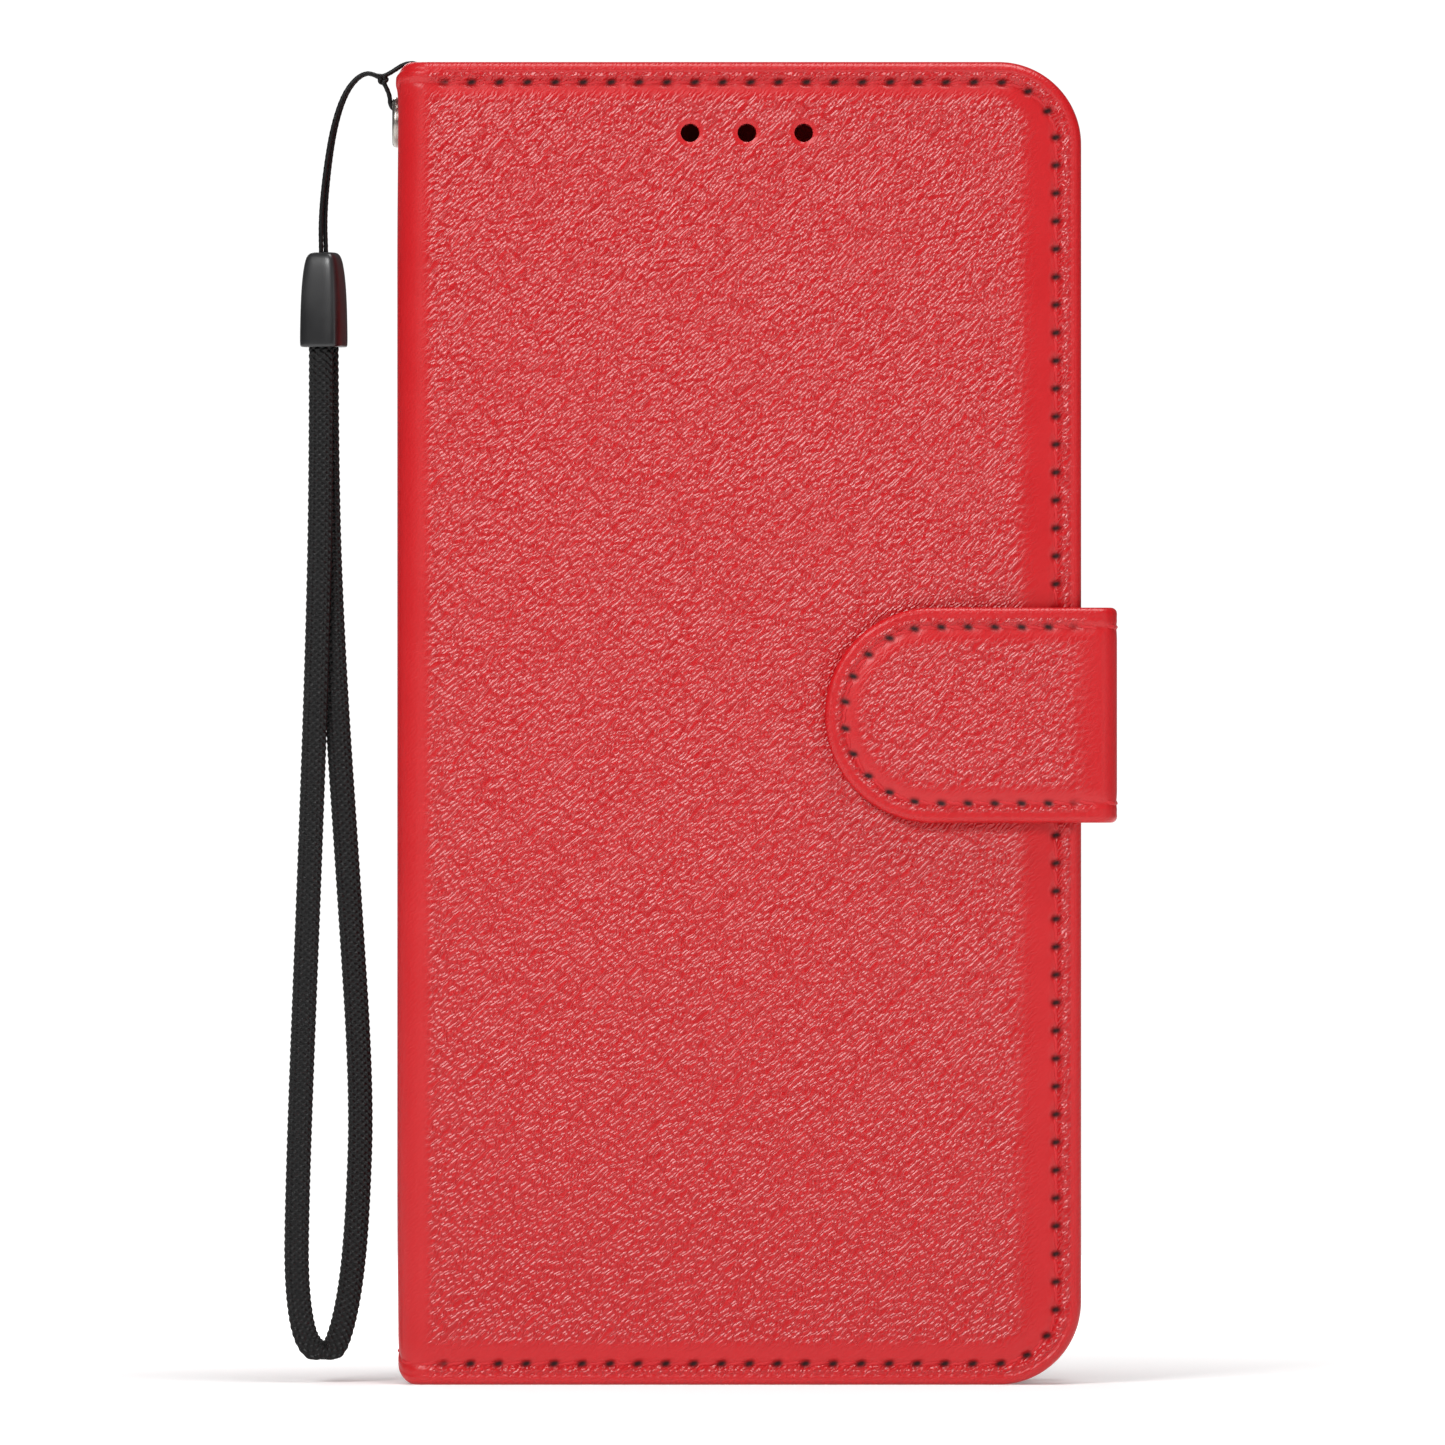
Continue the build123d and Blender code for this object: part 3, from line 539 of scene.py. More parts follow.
# share of the ferrule's full width, and height in mm above its mouth
FERRULE_BORE = [(0.62, 4.0), (0.62, 0.5), (0.68, 0.1), (0.80, 0.0)]
FERRULE_SIDE = [(0.95, 0.0), (1.0, 0.15), (1.0, 1.5), (0.985, 4.0), (0.955, 6.5)]
FERRULE_SHOULDER = [(0.90, 8.6), (0.83, 10.0), (0.77, 10.8), (0.68, 11.4), (0.56, 11.68)]
FERRULE_TOP = [(0.40, 11.75), (0.26, 11.7), (0.24, 11.3)]
FERRULE_HALF_WIDTH, FERRULE_HALF_DEPTH, FERRULE_TURN = 2.6 * MM, 2.5 * MM, math.radians(19)
SQUARENESS = 5  # 2 would be round


def add_ferrule(material):
    """The moulded ferrule: a rounded square, drawn in over its shoulders and hollow at its mouth."""
    profile = FERRULE_BORE + FERRULE_SIDE + FERRULE_SHOULDER + FERRULE_TOP
    angles = np.linspace(0, 2 * math.pi, 72, endpoint=False)
    powers = np.abs(np.cos(angles)) ** SQUARENESS + np.abs(np.sin(angles)) ** SQUARENESS
    corner = powers ** (-1 / SQUARENESS)
    across = corner * np.cos(angles) * FERRULE_HALF_WIDTH
    deep = corner * np.sin(angles) * FERRULE_HALF_DEPTH
    x = across * math.cos(FERRULE_TURN) + deep * math.sin(FERRULE_TURN)
    y = deep * math.cos(FERRULE_TURN) - across * math.sin(FERRULE_TURN)
    rings = []
    for size, height in profile:
        z = np.full_like(x, FERRULE_MOUTH_Z + height * MM)
        rings.append(np.stack((FERRULE_X + size * x, SPINE_Y + size * y, z), axis=-1))
    ferrule = tube_object("ferrule", np.array(rings), material)
    rounding = ferrule.modifiers.new("rounding", "SUBSURF")
    rounding.levels = rounding.render_levels = 2
    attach(ferrule, "lanyard")
    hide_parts("strap_ferrule")


STRAP_ROUTE = [
    (-0.0096, -0.00065, 0.1320),
    (-0.0096, -0.00065, 0.1120),
    (-0.0101, -0.00065, 0.0900),
    (-0.0111, -0.00065, 0.0620),
    (-0.0121, -0.0005, 0.0370),
    (-0.0126, -0.00035, 0.0215),
    (-0.0127, -0.0002, 0.0130),
    (-0.0120, -0.0001, 0.0067),
    (-0.0107, 0.0, 0.0040),
    (-0.0084, 0.0, 0.0034),
    (-0.0071, 0.0001, 0.0063),
    (-0.0059, 0.0002, 0.0122),
    (-0.0051, 0.00035, 0.0210),
    (-0.0046, 0.0005, 0.0360),
    (-0.0062, 0.00065, 0.0610),
    (-0.0081, 0.00065, 0.0890),
    (-0.0090, 0.00065, 0.1120),
    (-0.0090, 0.00065, 0.1320),
]


BRAID_LENGTH, BRAID_WIDTH = 0.85 * MM, 1.0 * MM  # one crossing of the strap's strands
DENT_DEPTH, DENT_LENGTH = 0.5, 0.8 * MM  # inside the strap's fold


def braid_height(along, across):
    """A flat braid's relief: strands that cross over and under each other."""
    one_way = along / BRAID_LENGTH + across / BRAID_WIDTH
    other_way = along / BRAID_LENGTH - across / BRAID_WIDTH
    over = (np.floor(one_way) + np.floor(other_way)) % 2 == 0
    first, second = np.abs(np.sin(math.pi * one_way)), np.abs(np.sin(math.pi * other_way))
    return np.where(over, second ** 1.1 * first ** 0.45, first ** 1.1 * second ** 0.45)


def add_wrist_strap(material):
    """The flat braided loop, folded over at the bottom."""
    route = [(SPINE_X + x, SPINE_Y + y, z) for x, y, z in STRAP_ROUTE]
    points, travel = evenly(spline_points("strap_line", route), 0.11 * MM)
    tangent = tangents_along(points)
    width = np.cross(tangent, (0.0, 1.0, 0.0))
    normal = np.cross(width, tangent)
    sides = np.linspace(0, 2 * math.pi, 72, endpoint=False)
    flat_u = np.sign(np.cos(sides)) * np.abs(np.cos(sides)) ** 0.7
    flat_v = np.sign(np.sin(sides)) * np.abs(np.sin(sides)) ** 0.55
    relief = braid_height(travel[:, None], flat_u[None] * STRAP_WIDTH / 2)
    fold_place = travel[np.argmin(points[:, 2])]
    dent = DENT_DEPTH * bell(travel - fold_place, DENT_LENGTH)[:, None] * (flat_u[None] < 0)
    shrink = 1 - 0.5 * (1 - relief) * np.abs(flat_v)[None]
    edge = 1 - 0.06 * (1 - relief) * np.abs(flat_u)[None] - dent * flat_u[None] ** 2
    rings = (
        points[:, None]
        + (edge * flat_u)[..., None] * STRAP_WIDTH / 2 * width[:, None]
        + (shrink * flat_v)[..., None] * STRAP_THICKNESS / 2 * normal[:, None]
    )
    strap = tube_object("braided_strap", rings, material)
    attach(strap, "lanyard")
    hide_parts("wrist_strap")
    return strap, points


# ---- material helpers
class Shader:
    """A node material around one Principled shader."""

    def __init__(self, name, **constants):
        self.material = bpy.data.materials.new(name)
        self.material.use_nodes = True
        self.tree = self.material.node_tree
        self.main = self.tree.nodes["Principled BSDF"]
        for socket, value in constants.items():
            self.main.inputs[socket.replace("_", " ")].default_value = value

    def add(self, kind, settings=None, **inputs):
        """A node; its inputs are values or other nodes' outputs."""
        made = self.tree.nodes.new(kind)
        for key, value in (settings or {}).items():
            setattr(made, key, value)
        for key, value in inputs.items():
            self.feed(made.inputs[int(key[1:]) if key[0] == "_" else key.replace("_", " ")], value)
        return made

    def feed(self, socket, value):
        """Sets a socket, or links it when the value is an output."""
        if isinstance(value, bpy.types.NodeSocket):
            self.tree.links.new(value, socket)
        else:
            socket.default_value = value

    def math(self, operation, first, second=0.0, clamp=False):
        """One sum."""
        settings = {"operation": operation, "use_clamp": clamp}
        return self.add("ShaderNodeMath", settings, _0=first, _1=second).outputs[0]

    def mix(self, share, first, second):
        """A colour between two others."""
        made = self.add("ShaderNodeMix", {"data_type": "RGBA"})
        self.feed(made.inputs[0], share)
        self.feed(made.inputs[6], first)
        self.feed(made.inputs[7], second)
        return made.outputs[2]

    def ramp(self, value, low, high, start=0.0, end=1.0):
        """A value's range brought to another, with soft ends."""
        settings = {"interpolation_type": "SMOOTHSTEP"}
        made = self.add("ShaderNodeMapRange", settings, Value=value)
        for socket, number in zip(("From Min", "From Max", "To Min", "To Max"), (low, high, start, end)):
            made.inputs[socket].default_value = number
        return made.outputs[0]

    def noise(self, place, scale, detail=3.0, roughness=0.55, output="Fac"):
        """Soft noise."""
        inputs = {"Vector": place, "Scale": scale, "Detail": detail, "Roughness": roughness}
        return self.add("ShaderNodeTexNoise", None, **inputs).outputs[output]

    def place(self, flat=False):
        """Where a point is: on the object, or on its flat layout."""
        if flat:
            return self.add("ShaderNodeUVMap", {"uv_map": "flat_layout"}).outputs[0]
        return self.add("ShaderNodeTexCoord").outputs["Object"]

    def turned(self, place, angle, scale):
        """A place turned about its third axis and stretched."""
        made = self.add("ShaderNodeMapping", None, Vector=place)
        made.inputs["Rotation"].default_value = (0, 0, math.radians(angle))
        stretched = self.add("ShaderNodeMapping", None, Vector=made.outputs[0])
        stretched.inputs["Scale"].default_value = scale
        return stretched.outputs[0]

    def share(self, name):
        """A per-vertex share."""
        return self.add("ShaderNodeAttribute", {"attribute_name": name}).outputs["Fac"]

    def bump(self, height, distance, strength=1.0):
        """A bump's normal."""
        made = self.add("ShaderNodeBump", None, Height=height, Distance=distance, Strength=strength)
        return made.outputs[0]

    def finish(self, colour, roughness, normal):
        """Links the colour, roughness and bump to the shader."""
        self.feed(self.main.inputs["Base Color"], colour)
        self.feed(self.main.inputs["Roughness"], roughness)
        self.feed(self.main.inputs["Normal"], normal)
        return self.material


# ---- materials
GRAIN_LEAN = -46  # degrees: the grain rises to the right
GRAIN_SLENDERNESS = 0.8
GRAIN_HEIGHT = 0.000075
LEATHER_DEEP, LEATHER_LIGHT = (0.53, 0.0040, 0.0075, 1), (0.58, 0.0060, 0.0100, 1)
# painted shade: a darker red for the grain's valleys, and near-black for the needle holes
LEATHER_VALLEY_SHADE, NEEDLE_HOLE_SHADE = (0.28, 0.0025, 0.0050, 1), (0.030, 0.0015, 0.002, 1)


def worm_ridges(shader, place):
    """Short wandering ridges, as heights from 0 to 1."""
    wander = shader.noise(place, 400, 1.0, output="Color")
    reach = (0.0005, 0.0005, 0.0)
    settings = {"operation": "MULTIPLY_ADD"}
    shifted = shader.add("ShaderNodeVectorMath", settings, _0=wander, _1=reach, _2=place).outputs[0]
    leaning = shader.turned(shifted, GRAIN_LEAN, (GRAIN_SLENDERNESS, 1.0, 1.0))
    bands = {"wave_type": "BANDS", "bands_direction": "Y", "wave_profile": "TRI"}
    shape = {"Scale": 660.0, "Distortion": 4.5, "Detail": 0.0, "Detail_Scale": 2.6}
    return shader.add("ShaderNodeTexWave", bands, Vector=leaning, **shape).outputs["Fac"]


def leather_material():
    """Red coated leather: grained, but smoother where it is stretched, with painted shade in the grain's
    valleys and in the needle holes.
    """
    shader = Shader("red_leather", Specular_IOR_Level=0.5)
    place = shader.place(flat=True)
    smooth = shader.share("smooth_share")
    pit = shader.share("pit_shade_share")
    ridges = worm_ridges(shader, place)
    patches = shader.noise(place, 110)
    grained = shader.math("SUBTRACT", 1.0, shader.math("MULTIPLY", smooth, 0.88))
    uneven = shader.ramp(patches, 0.3, 0.7, 0.85, 1.0)
    normal = shader.bump(ridges, GRAIN_HEIGHT, shader.math("MULTIPLY", grained, uneven))
    # painted shade: the grain's valleys, where the ridge height is low, are mixed towards a darker red
    valley_shade = shader.math("MULTIPLY", shader.math("SUBTRACT", 1.0, ridges), grained)
    base = shader.mix(patches, LEATHER_DEEP, LEATHER_LIGHT)
    valley_shaded = shader.mix(shader.math("MULTIPLY", valley_shade, 0.4), base, LEATHER_VALLEY_SHADE)
    # painted shade: the needle holes are mixed towards near-black
    colour = shader.mix(shader.math("MULTIPLY", pit, 1.2, clamp=True), valley_shaded, NEEDLE_HOLE_SHADE)
    worn = shader.ramp(patches, 0.25, 0.75, 0.28, 0.32)
    dull = shader.math("ADD", shader.math("MULTIPLY", smooth, 0.08), shader.math("MULTIPLY", pit, 0.5))
    return shader.finish(colour, shader.math("ADD", worn, dull), normal)


def thread_material():
    """Red two-ply sewing thread."""
    shader = Shader("red_thread", Sheen_Weight=0.05, Sheen_Roughness=0.4)
    place = shader.place()
    fibres = shader.noise(place, 9000)
    colour = shader.mix(fibres, (0.50, 0.008, 0.013, 1), (0.66, 0.014, 0.020, 1))
    roughness = shader.ramp(fibres, 0.3, 0.7, 0.55, 0.75)
    return shader.finish(colour, roughness, shader.bump(fibres, 0.00004))


def lining_material(name, deep, light):
    """Brushed microfibre: short nap with soft clouds."""
    shader = Shader(name, Sheen_Weight=0.35, Sheen_Roughness=0.5)
    place = shader.place()
    nap = shader.noise(place, 4200, 4.0, 0.7)
    clouds = shader.noise(place, 90)
    share = shader.math("MULTIPLY", shader.math("ADD", nap, clouds), 0.5)
    colour = shader.mix(shader.ramp(share, 0.35, 0.65), deep, light)
    roughness = shader.ramp(clouds, 0.3, 0.7, 0.78, 0.92)
    return shader.finish(colour, roughness, shader.bump(nap, 0.00006, 0.8))


def moulded_material(name, deep, light, rough, grain_scale, grain_depth, **constants):
    """Moulded or rolled stock: fine even grain, with faint clouds and rubbed patches."""
    shader = Shader(name, **constants)
    place = shader.place()
    grain = shader.noise(place, grain_scale)
    clouds = shader.noise(place, 150, 4.0)
    colour = shader.mix(shader.ramp(clouds, 0.3, 0.7), deep, light)
    roughness = shader.ramp(clouds, 0.3, 0.7, rough - 0.05, rough + 0.06)
    return shader.finish(colour, roughness, shader.bump(grain, grain_depth, 0.7))


def woven_material(name, deep, light, scale):
    """Black woven cord or braid: fine filaments with a dull sheen."""
    shader = Shader(name, Specular_IOR_Level=0.25)
    place = shader.place()
    filaments = shader.noise(shader.turned(place, 40, (1.0, 1.0, 0.35)), scale, 3.0, 0.65)
    colour = shader.mix(filaments, deep, light)
    roughness = shader.ramp(filaments, 0.3, 0.7, 0.3, 0.5)
    return shader.finish(colour, roughness, shader.bump(filaments, 0.00005))


def metal_material(name, colour_low, colour_high, rough):
    """Plated metal with fine brush marks and handling smudges."""
    shader = Shader(name, Metallic=1.0)
    place = shader.place()
    marks = shader.noise(shader.turned(place, 15, (1.0, 0.15, 1.0)), 6000)
    smudges = shader.noise(place, 700, 4.0)
    colour = shader.mix(smudges, colour_low, colour_high)
    roughness = shader.ramp(smudges, 0.3, 0.7, rough, rough + 0.14)
    return shader.finish(colour, roughness, shader.bump(marks, 0.000006, 0.6))


leather = leather_material()
thread = thread_material()
lining = lining_material("lining", (0.45, 0.022, 0.032, 1), (0.54, 0.034, 0.046, 1))
pocket_cloth = lining_material("pocket_lining", (0.41, 0.019, 0.027, 1), (0.49, 0.028, 0.038, 1))
soft_shell = moulded_material(
    "soft_shell", (0.32, 0.010, 0.016, 1), (0.35, 0.012, 0.018, 1), 0.42, 5000, 0.00002
)
black_plastic = moulded_material(
    "black_plastic", (0.010, 0.010, 0.011, 1), (0.016, 0.016, 0.017, 1), 0.36, 7000, 0.00001,
    Coat_Weight=0.3, Coat_Roughness=0.2,
)
board = moulded_material("board", (0.33, 0.012, 0.018, 1), (0.44, 0.022, 0.030, 1), 0.85, 3000, 0.00004)
adhesive = moulded_material("adhesive", (0.70, 0.69, 0.64, 1), (0.8, 0.8, 0.75, 1), 0.3, 1500, 0.00002)
nickel = metal_material("nickel", (0.36, 0.335, 0.30, 1), (0.50, 0.465, 0.42, 1), 0.24)
magnet_steel = metal_material("magnet_steel", (0.50, 0.50, 0.52, 1), (0.62, 0.62, 0.64, 1), 0.28)
CORD_DEEP, CORD_LIGHT = (0.002, 0.002, 0.002, 1), (0.007, 0.007, 0.0075, 1)
black_cord = woven_material("black_cord", CORD_DEEP, CORD_LIGHT, 5200)
black_braid = woven_material("black_braid", CORD_DEEP, CORD_LIGHT, 4200)


def finish_nodes(material, slot, *names):
    """Gives CAD nodes that stay in view a detailed material."""
    for name in names:
        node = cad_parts[name]
        node.data.materials.clear()
        node.data.materials.append(material)


finish_nodes(soft_shell, "soft_shell", "phone_shell")
finish_nodes(nickel, "nickel", "eyelet", "eyelet_washer")
finish_nodes(magnet_steel, "magnet_steel", "cover_magnet_plate", "clasp_magnet", "ferrule_crimp")
finish_nodes(board, "board", "front_board", "back_board", "flap_stiffener")
finish_nodes(adhesive, "adhesive", "shell_adhesive")
finish_nodes(pocket_cloth, "lining", "bill_pocket", "card_slot_1", "card_slot_2", "card_slot_3")

# ---- covers
THREAD_DEPTH, THREAD_PRESSED = 0.10 * MM, 0.42 * MM  # below the face, and further where it is pressed
SPINE_LEVEL = (BACK_Y - FRONT_Y) / 2 - FOLD_RADIUS
COVER_WIDTH = SPINE_LEVEL + FOLD_RADIUS * math.pi / 2 + FORE_X - SPINE_X - FOLD_RADIUS


def flat_x(x):
    """How far along a cover's flat sheet a world x is."""
    return SPINE_LEVEL + FOLD_RADIUS * math.pi / 2 + x - SPINE_X - FOLD_RADIUS


class Sewing:
    """How a skin is sewn and finished.

    insets and slopes are how far inside the upper, fore and lower edges the seam runs and how
    wide the dip inside it is. holes_start and grain_start are where, along u, the needle holes
    and the grain come in past the fold.
    """

    def __init__(self, pitch, insets, slopes, edge_roll, holes_start, grain_start,
                 first_hole=0.0, relief_share=1.0, crown=0.0, flare=0.0):
        self.pitch, self.insets, self.slopes, self.edge_roll = pitch, insets, slopes, edge_roll
        self.holes_start, self.grain_start, self.first_hole = holes_start, grain_start, first_hole
        self.relief_share, self.crown, self.flare = relief_share, crown, flare


def edge_rows(depth, edge_roll):
    """Insets and heights of a skin's rows from its lap on the lining round its edge to its face."""
    lap = ((LAP_WIDTH, -LAP_END_DEPTH), (LAP_WIDTH, LAP_HEIGHT), (0.6 * LAP_WIDTH, LAP_HEIGHT * 1.2))
    turns = np.linspace(0, math.pi / 2, 6)
    ones = np.ones_like(depth)
    insets = [inset * ones for inset, _ in lap]
    heights = [-depth - proud for _, proud in lap]
    for turn in turns[::-1]:
        insets.append((1 - np.sin(turn)) * LAP_ROLL * ones)
        heights.append((1 - np.cos(turn)) * LAP_ROLL - depth - LAP_HEIGHT)
    for turn in turns:
        insets.append((1 - np.cos(turn)) * edge_roll * ones)
        heights.append((np.sin(turn) - 1) * edge_roll * ones)
    return np.array(insets), np.array(heights)


def sewn_rows(outline, fold, sewing, travel, pitch):
    """Insets, heights, needle-hole shares (for painted shade) and smoothness of the rows parallel to a
    skin's sewn edge.
    """
    insets = np.arange(FIRST_RING, RING_END, RING_STEP)[:, None] * np.ones(len(outline.run))
    seam = outline.by_side(*sewing.insets)
    slope = outline.by_side(*sewing.slopes)
    relief, pit, smooth = seam_relief(insets - seam, travel, pitch, slope, outline.inward)
    flare = outline.by_side(sewing.flare, 0, 0) * (1 - past_fold(outline, fold))
    rim = RIM_DEPTH * bell(insets - RIM_INSET, RIM_WIDTH)
    heights = pressed_share(outline, fold, sewing) * (relief - rim)
    heights += flare * (1 - smooth_step(insets, 1.5 * MM, 4.5 * MM))
    pit = pit * smooth_step(outline.points[:, 0], *sewing.holes_start)
    smooth = np.maximum(smooth, 1 - smooth_step(insets, 1.1 * MM, 1.5 * MM))
    return insets, heights, pit, smooth


def past_fold(outline, fold):
    """How far past the fold each edge point is, from 0 to 1."""
    return smooth_step(outline.points[:, 0], fold.level + 0.5 * fold.arc, fold.level + 1.6 * fold.arc)


def pressed_share(outline, fold, sewing):
    """How deep the seam is pressed: less before the fold than past it."""
    return sewing.relief_share * (0.2 + 0.8 * past_fold(outline, fold))


def skin(name, outline, fold, depth, sewing, largest_ring, holes=(), rims=()):
    """A turned-over leather skin with its sewn edge, and the stitches in it.

    rims are the pressed surrounds of holes: each hole, its surround's width and its depth.
    """
    points, travel = outline.seam(outline.by_side(*sewing.insets))
    sewn_length = travel[-1] - 2 * sewing.first_hole
    pitch = sewn_length / round(sewn_length / sewing.pitch)
    travel = travel - sewing.first_hole
    edge_insets, edge_heights = edge_rows(depth, sewing.edge_roll)
    face_insets, face_heights, pit, smooth = sewn_rows(outline, fold, sewing, travel, pitch)
    insets = np.concatenate((edge_insets, face_insets))
    core_shares = growing_shares(outline.height / 2 - insets[-1, 0], RING_STEP, largest_ring)
    core = np.zeros((len(core_shares), len(depth)))
    flat = sheet_layout(outline, insets, core_shares)
    heights = np.concatenate((edge_heights, face_heights, core))
    heights += sewing.crown * smooth_step(outline.from_edge(flat), 3 * MM, 2.5 * RING_END)
    # the needle-hole shares set the painted shade in the holes and their extra roughness
    pit = np.concatenate((np.zeros_like(edge_heights), pit, core))
    smooth = np.concatenate((np.full_like(edge_heights, 0.8), smooth, core))
    smooth = np.maximum(smooth, 0.95 * (1 - smooth_step(flat[..., 0], *sewing.grain_start)))
    for hole, width, fall in rims:
        away = hole(flat)
        heights -= fall * (1 - smooth_step(away, 0, width))
        smooth = np.maximum(smooth, 1 - smooth_step(away, 0.8 * width, 1.2 * width))
    made = folded_sheet(
        name, fold, flat, heights, leather, holes,
        wall=float(depth.max()), shares={"smooth_share": smooth, "pit_shade_share": pit},
    )
    thread_heights = -THREAD_PRESSED * pressed_share(outline, fold, sewing) - THREAD_DEPTH
    threads = add_threads(name + "_stitches", fold, points, travel, pitch, thread_heights, thread)
    return made, threads


def inner_sheet(name, outline, fold, near_depth, far_depth, largest_ring, holes, material):
    """The lining on a skin's inner side, near_depth below it before the fold and far_depth past it."""
    insets = np.array([0.4, 1.2, 2.4, 4.0, 6.0, 8.0])[:, None] * MM * np.ones(len(outline.run))
    core_shares = growing_shares(outline.height / 2 - insets[-1, 0], 0.6 * MM, largest_ring)
    flat = sheet_layout(outline, insets, core_shares)
    depth = near_depth + (far_depth - near_depth) * fold.turned(flat[..., 0])
    return folded_sheet(name, fold, flat, -depth, material, holes, inner=True)


SPINE_CORNERS = (1.0 * MM, 1.5 * MM)  # radii of the spine's upper and lower corners, seen from the front
front_fold = Fold(SPINE_X, SPINE_Y, -1, -1, SPINE_LEVEL, FOLD_RADIUS, MID_Z)
back_fold = Fold(SPINE_X, SPINE_Y, -1, 1, SPINE_LEVEL, FOLD_RADIUS, MID_Z)

HOLE_RADIUS, HOLE_PITCH, HOLE_X, HOLE_Z = 1.15 * MM, 7.0 * MM, -0.9 * MM, 154.25 * MM
WINDOW_X, WINDOW_Z = 18.3 * MM, 138.0 * MM
WINDOW_WIDTH, WINDOW_HEIGHT, WINDOW_CORNER = 16.0 * MM, 32.0 * MM, 6.0 * MM
speaker_holes = [
    round_hole(flat_x(HOLE_X + step * HOLE_PITCH), HOLE_Z - MID_Z, HOLE_RADIUS) for step in (-1, 0, 1)
]
eyelet_hole = round_hole(0.0, EYELET_Z - MID_Z, EYELET_RADIUS - 1.0 * MM)
camera_window = rounded_hole(
    flat_x(WINDOW_X), WINDOW_Z - MID_Z, WINDOW_WIDTH, WINDOW_HEIGHT, WINDOW_CORNER
)
eyelet_rim = (eyelet_hole, 1.3 * MM, 0.1 * MM)


def cover_skin(name, fold, thickness, slopes, largest_ring, holes, rims):
    """A cover's leather from the spine's middle line to the fore edge, turned over at its edges."""
    outline = Outline(COVER_WIDTH, CASE_HEIGHT, CORNER_RADIUS)
    outline.draw_in(fold, *SPINE_CORNERS)
    depth = SPINE_THICKNESS + (thickness - SPINE_THICKNESS) * fold.turned(outline.points[:, 0])
    sewing = Sewing(
        PITCH, (2.5 * MM, 3.1 * MM, 2.6 * MM), slopes, 1.05 * MM,
        holes_start=(flat_x(SPINE_X + 4.3 * MM), flat_x(SPINE_X + 6.6 * MM)),
        grain_start=(flat_x(SPINE_X + 3.0 * MM), flat_x(SPINE_X + 4.6 * MM)),
        crown=0.12 * MM, flare=0.3 * MM,
    )
    return skin(name, outline, fold, depth, sewing, largest_ring, holes, rims)


def cover_lining(name, fold, thickness, holes):
    """The lining inside a cover and its half of the spine."""
    outline = Outline(COVER_WIDTH, CASE_HEIGHT, CORNER_RADIUS, 1.0 * MM)
    outline.draw_in(fold, *SPINE_CORNERS)
    made = inner_sheet(name, outline, fold, SPINE_THICKNESS, thickness, 1.0 * MM, holes, lining)
    return made


front_holes = [*speaker_holes, eyelet_hole]
back_holes = [camera_window, eyelet_hole]
front_skin, front_threads = cover_skin(
    "front_skin", front_fold, FRONT_THICKNESS, (1.8 * MM, 4.2 * MM, 2.4 * MM), 2.2 * MM, front_holes,
    [*((hole, 0.55 * MM, 0.16 * MM) for hole in speaker_holes), eyelet_rim],
)
back_skin, back_threads = cover_skin(
    "back_skin", back_fold, BACK_THICKNESS, (2.2 * MM, 3.0 * MM, 2.4 * MM), 0.8 * MM, back_holes,
    [(camera_window, 0.8 * MM, 0.4 * MM), eyelet_rim],
)
front_inside = cover_lining("front_inside", front_fold, FRONT_THICKNESS, front_holes)
back_inside = cover_lining("back_inside", back_fold, BACK_THICKNESS, back_holes)

for piece in (front_skin, front_threads, front_inside):
    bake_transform(piece)
for piece in (back_skin, back_threads, back_inside):
    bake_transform(piece)
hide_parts("front_leather", "front_foam", "spine_leather")
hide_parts("front_stitching", "spine_stitching")
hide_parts("front_lining", "spine_lining")
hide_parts("back_leather")
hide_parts("back_stitching")
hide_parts("back_lining")

# ---- clasp
FLAP_LEVEL = CLASP_MID_Y - FLAP_Y - CLASP_FRONT_FOLD
FLAP_WIDTH = FLAP_LEVEL + CLASP_FRONT_FOLD * math.pi / 2 + CLASP_X - CLASP_FRONT_FOLD - FLAP_TIP_X
ROOT_LEVEL = ROOT_BACK_Y - CLASP_MID_Y - CLASP_BACK_FOLD
flap_fold = Fold(CLASP_X, CLASP_MID_Y, 1, -1, FLAP_LEVEL, CLASP_FRONT_FOLD, CLASP_Z)
root_fold = Fold(CLASP_X, CLASP_MID_Y, 1, 1, ROOT_LEVEL, CLASP_BACK_FOLD, CLASP_Z)
NO_GRAIN = (1.0, 2.0)  # beyond the sheet's end


def clasp_strip(name, outline, fold, end_thickness, **sewing_details):
    """One half of the clasp strap: its leather skin, its stitches and its lining."""
    depth = SIDE_THICKNESS + (end_thickness - SIDE_THICKNESS) * fold.turned(outline.points[:, 0])
    sewing = Sewing(
        CLASP_PITCH, (2.4 * MM,) * 3, (1.8 * MM,) * 3, 0.75 * MM, relief_share=0.6, **sewing_details
    )
    made, threads = skin(name, outline, fold, depth, sewing, 0.4 * MM)
    inside = inner_sheet(
        name + "_inside", outline, fold, SIDE_THICKNESS, end_thickness, 0.6 * MM, (), lining
    )
    return made, threads, inside


flap_pieces = clasp_strip(
    "clasp_flap_skin", Outline(FLAP_WIDTH, CLASP_HEIGHT, CLASP_HEIGHT / 2), flap_fold, FLAP_THICKNESS,
    holes_start=(FLAP_LEVEL + 5.6 * MM, FLAP_LEVEL + 8.4 * MM),
    grain_start=(FLAP_LEVEL + 3 * MM, FLAP_LEVEL + 9 * MM),
    first_hole=1.35 * MM,
)
ROOT_WIDTH = ROOT_LEVEL + CLASP_BACK_FOLD * math.pi / 2 + ROOT_REACH
root_pieces = clasp_strip(
    "clasp_root_skin", Outline(ROOT_WIDTH, CLASP_HEIGHT, ROOT_REACH), root_fold, ROOT_THICKNESS,
    holes_start=(ROOT_LEVEL + 3.1 * MM, ROOT_LEVEL + 4.2 * MM),
    grain_start=NO_GRAIN,
)
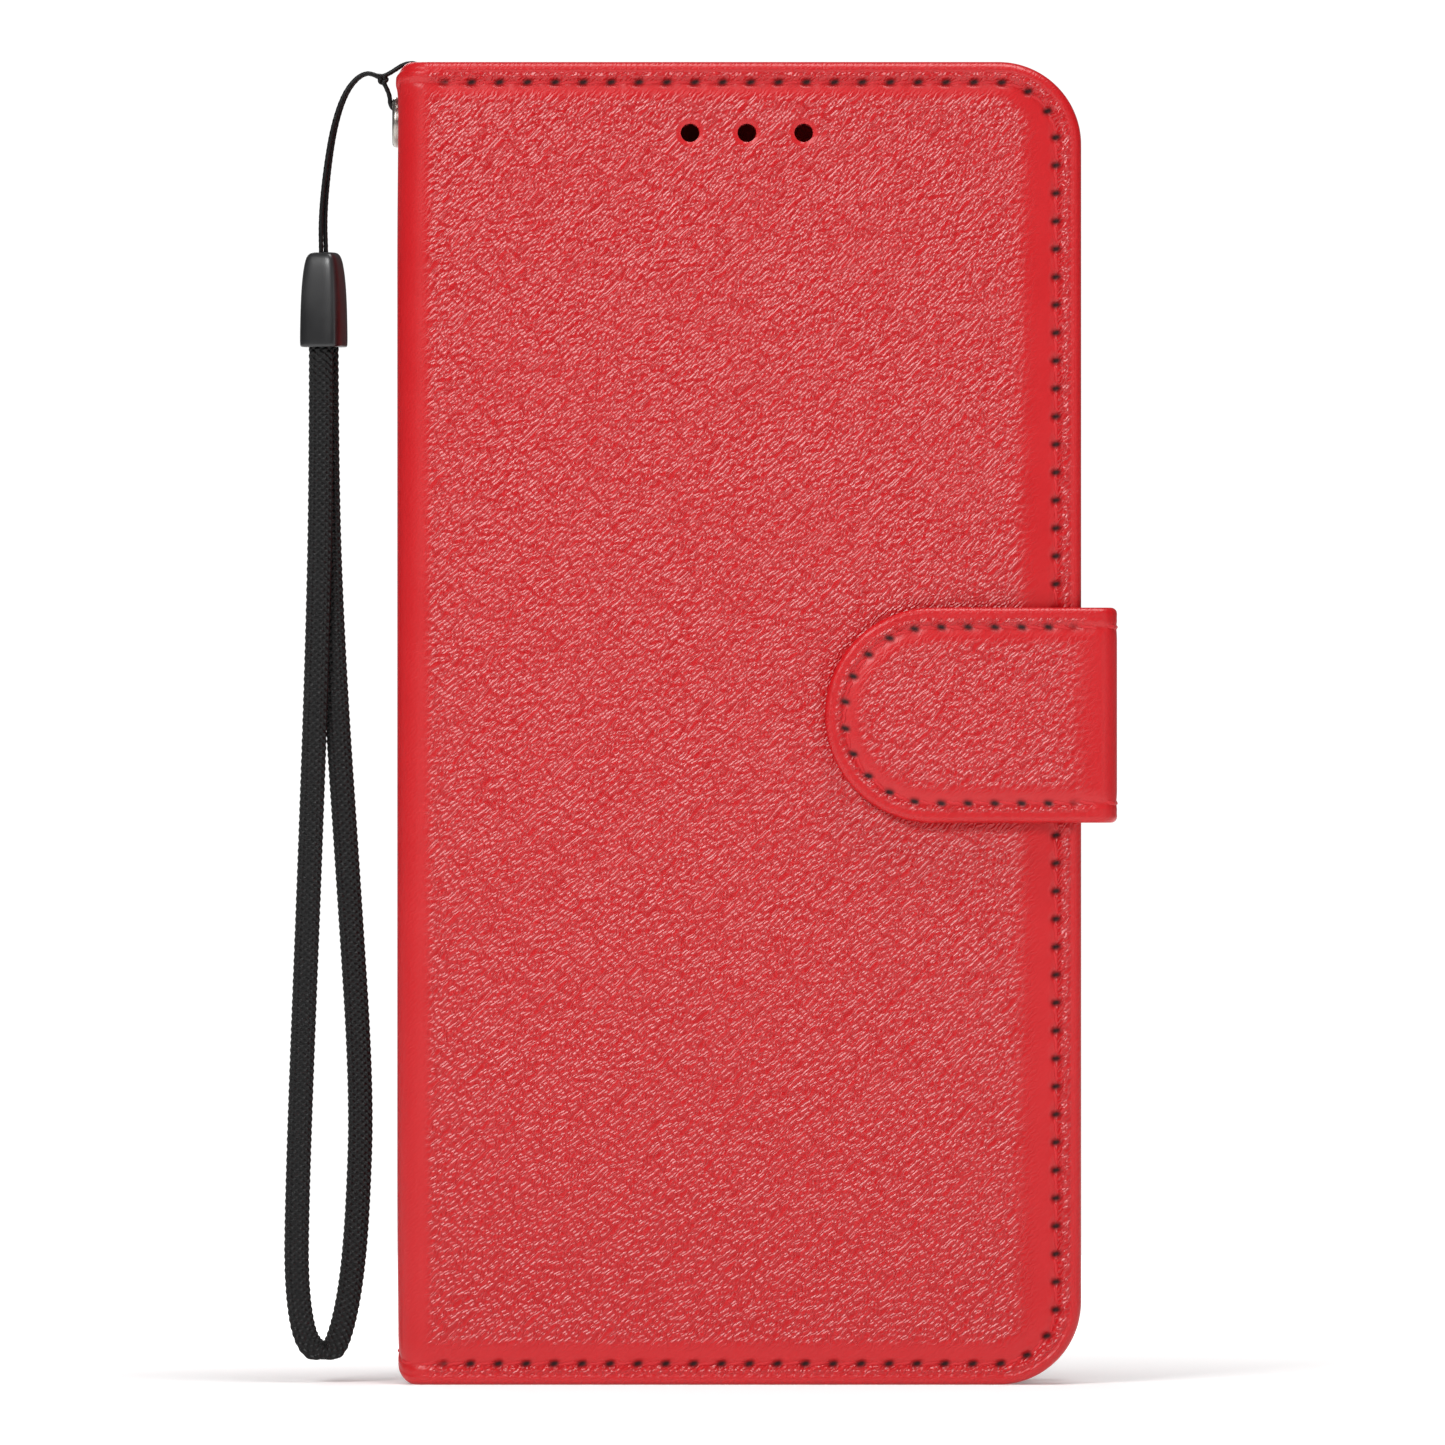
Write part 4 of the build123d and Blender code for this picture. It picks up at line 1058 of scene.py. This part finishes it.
for piece in flap_pieces:
    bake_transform(piece)
for piece in root_pieces:
    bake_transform(piece)
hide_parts("flap_leather", "clasp_side_leather")
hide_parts("clasp_stitching")
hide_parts("flap_lining", "clasp_side_lining")
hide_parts("clasp_root")

# ---- lanyard
thin_cord, cord_points = add_thin_cord(black_cord)
knot = add_knot(black_cord)
add_ferrule(black_plastic)
strap, strap_points = add_wrist_strap(black_braid)

# ---- floor and light
FLOOR_WIDTH = 1.2
FLOOR_GLOW_NEAR, FLOOR_GLOW_FAR = (0.18, 0.18, 0.18, 1), (0.55, 0.55, 0.55, 1)
WORLD_LIGHT, WORLD_BACKDROP = 0.14, 1.05
# where each light is, what it is aimed at, its size and its power
LIGHTS = {
    "key": ((-0.52, -1.02, 0.76), (0.0, 0.0, 0.09), 0.40, 9.3),
    "fill": ((0.60, -0.80, 0.25), (0.0, 0.0, 0.08), 0.40, 0.5),
    "back": ((-0.30, 0.95, 0.55), (0.0, 0.0, 0.08), 0.40, 2.2),
    "overhead": ((0.16, -0.20, 1.05), (0.0, 0.0, 0.0), 0.45, 6.3),
}


def add_floor():
    """A plain white floor, bright enough to fade into the background."""
    shader = Shader("floor_white", Specular_IOR_Level=0.1, Roughness=0.9, Emission_Strength=1.0)
    shader.main.inputs["Base Color"].default_value = (0.9, 0.9, 0.9, 1)
    away = shader.add("ShaderNodeVectorMath", {"operation": "LENGTH"}, _0=shader.place()).outputs["Value"]
    glow = shader.mix(shader.ramp(away, 0.03, 0.20), FLOOR_GLOW_NEAR, FLOOR_GLOW_FAR)
    shader.feed(shader.main.inputs["Emission Color"], glow)
    half = FLOOR_WIDTH / 2
    corners = [(-half, -half, 0), (half, -half, 0), (half, half, 0), (-half, half, 0)]
    floor = new_object("floor", corners, [(0, 1, 2, 3)], shader.material)


def add_light(name, place, aim, size, power):
    """A square soft light aimed at a point."""
    data = bpy.data.lights.new(name, "AREA")
    data.size = size
    data.energy = power
    light = bpy.data.objects.new(name, data)
    bpy.context.collection.objects.link(light)
    light.location = place
    light.rotation_euler = (Vector(aim) - Vector(place)).to_track_quat("-Z", "Y").to_euler()


def add_world():
    """A white surround: bright behind the object, softer as a light."""
    world = bpy.data.worlds.new("studio")
    bpy.context.scene.world = world
    world.use_nodes = True
    tree = world.node_tree
    background = tree.nodes["Background"]
    background.inputs["Color"].default_value = (1, 1, 1, 1)
    rays = tree.nodes.new("ShaderNodeLightPath")
    strength = tree.nodes.new("ShaderNodeMapRange")
    strength.inputs["To Min"].default_value = WORLD_LIGHT
    strength.inputs["To Max"].default_value = WORLD_BACKDROP
    tree.links.new(rays.outputs["Is Camera Ray"], strength.inputs["Value"])
    tree.links.new(strength.outputs[0], background.inputs["Strength"])


add_floor()
add_world()
for light_name, (place, aim, size, power) in LIGHTS.items():
    add_light(light_name, place, aim, size, power)
bpy.context.scene.view_settings.view_transform = "Standard"
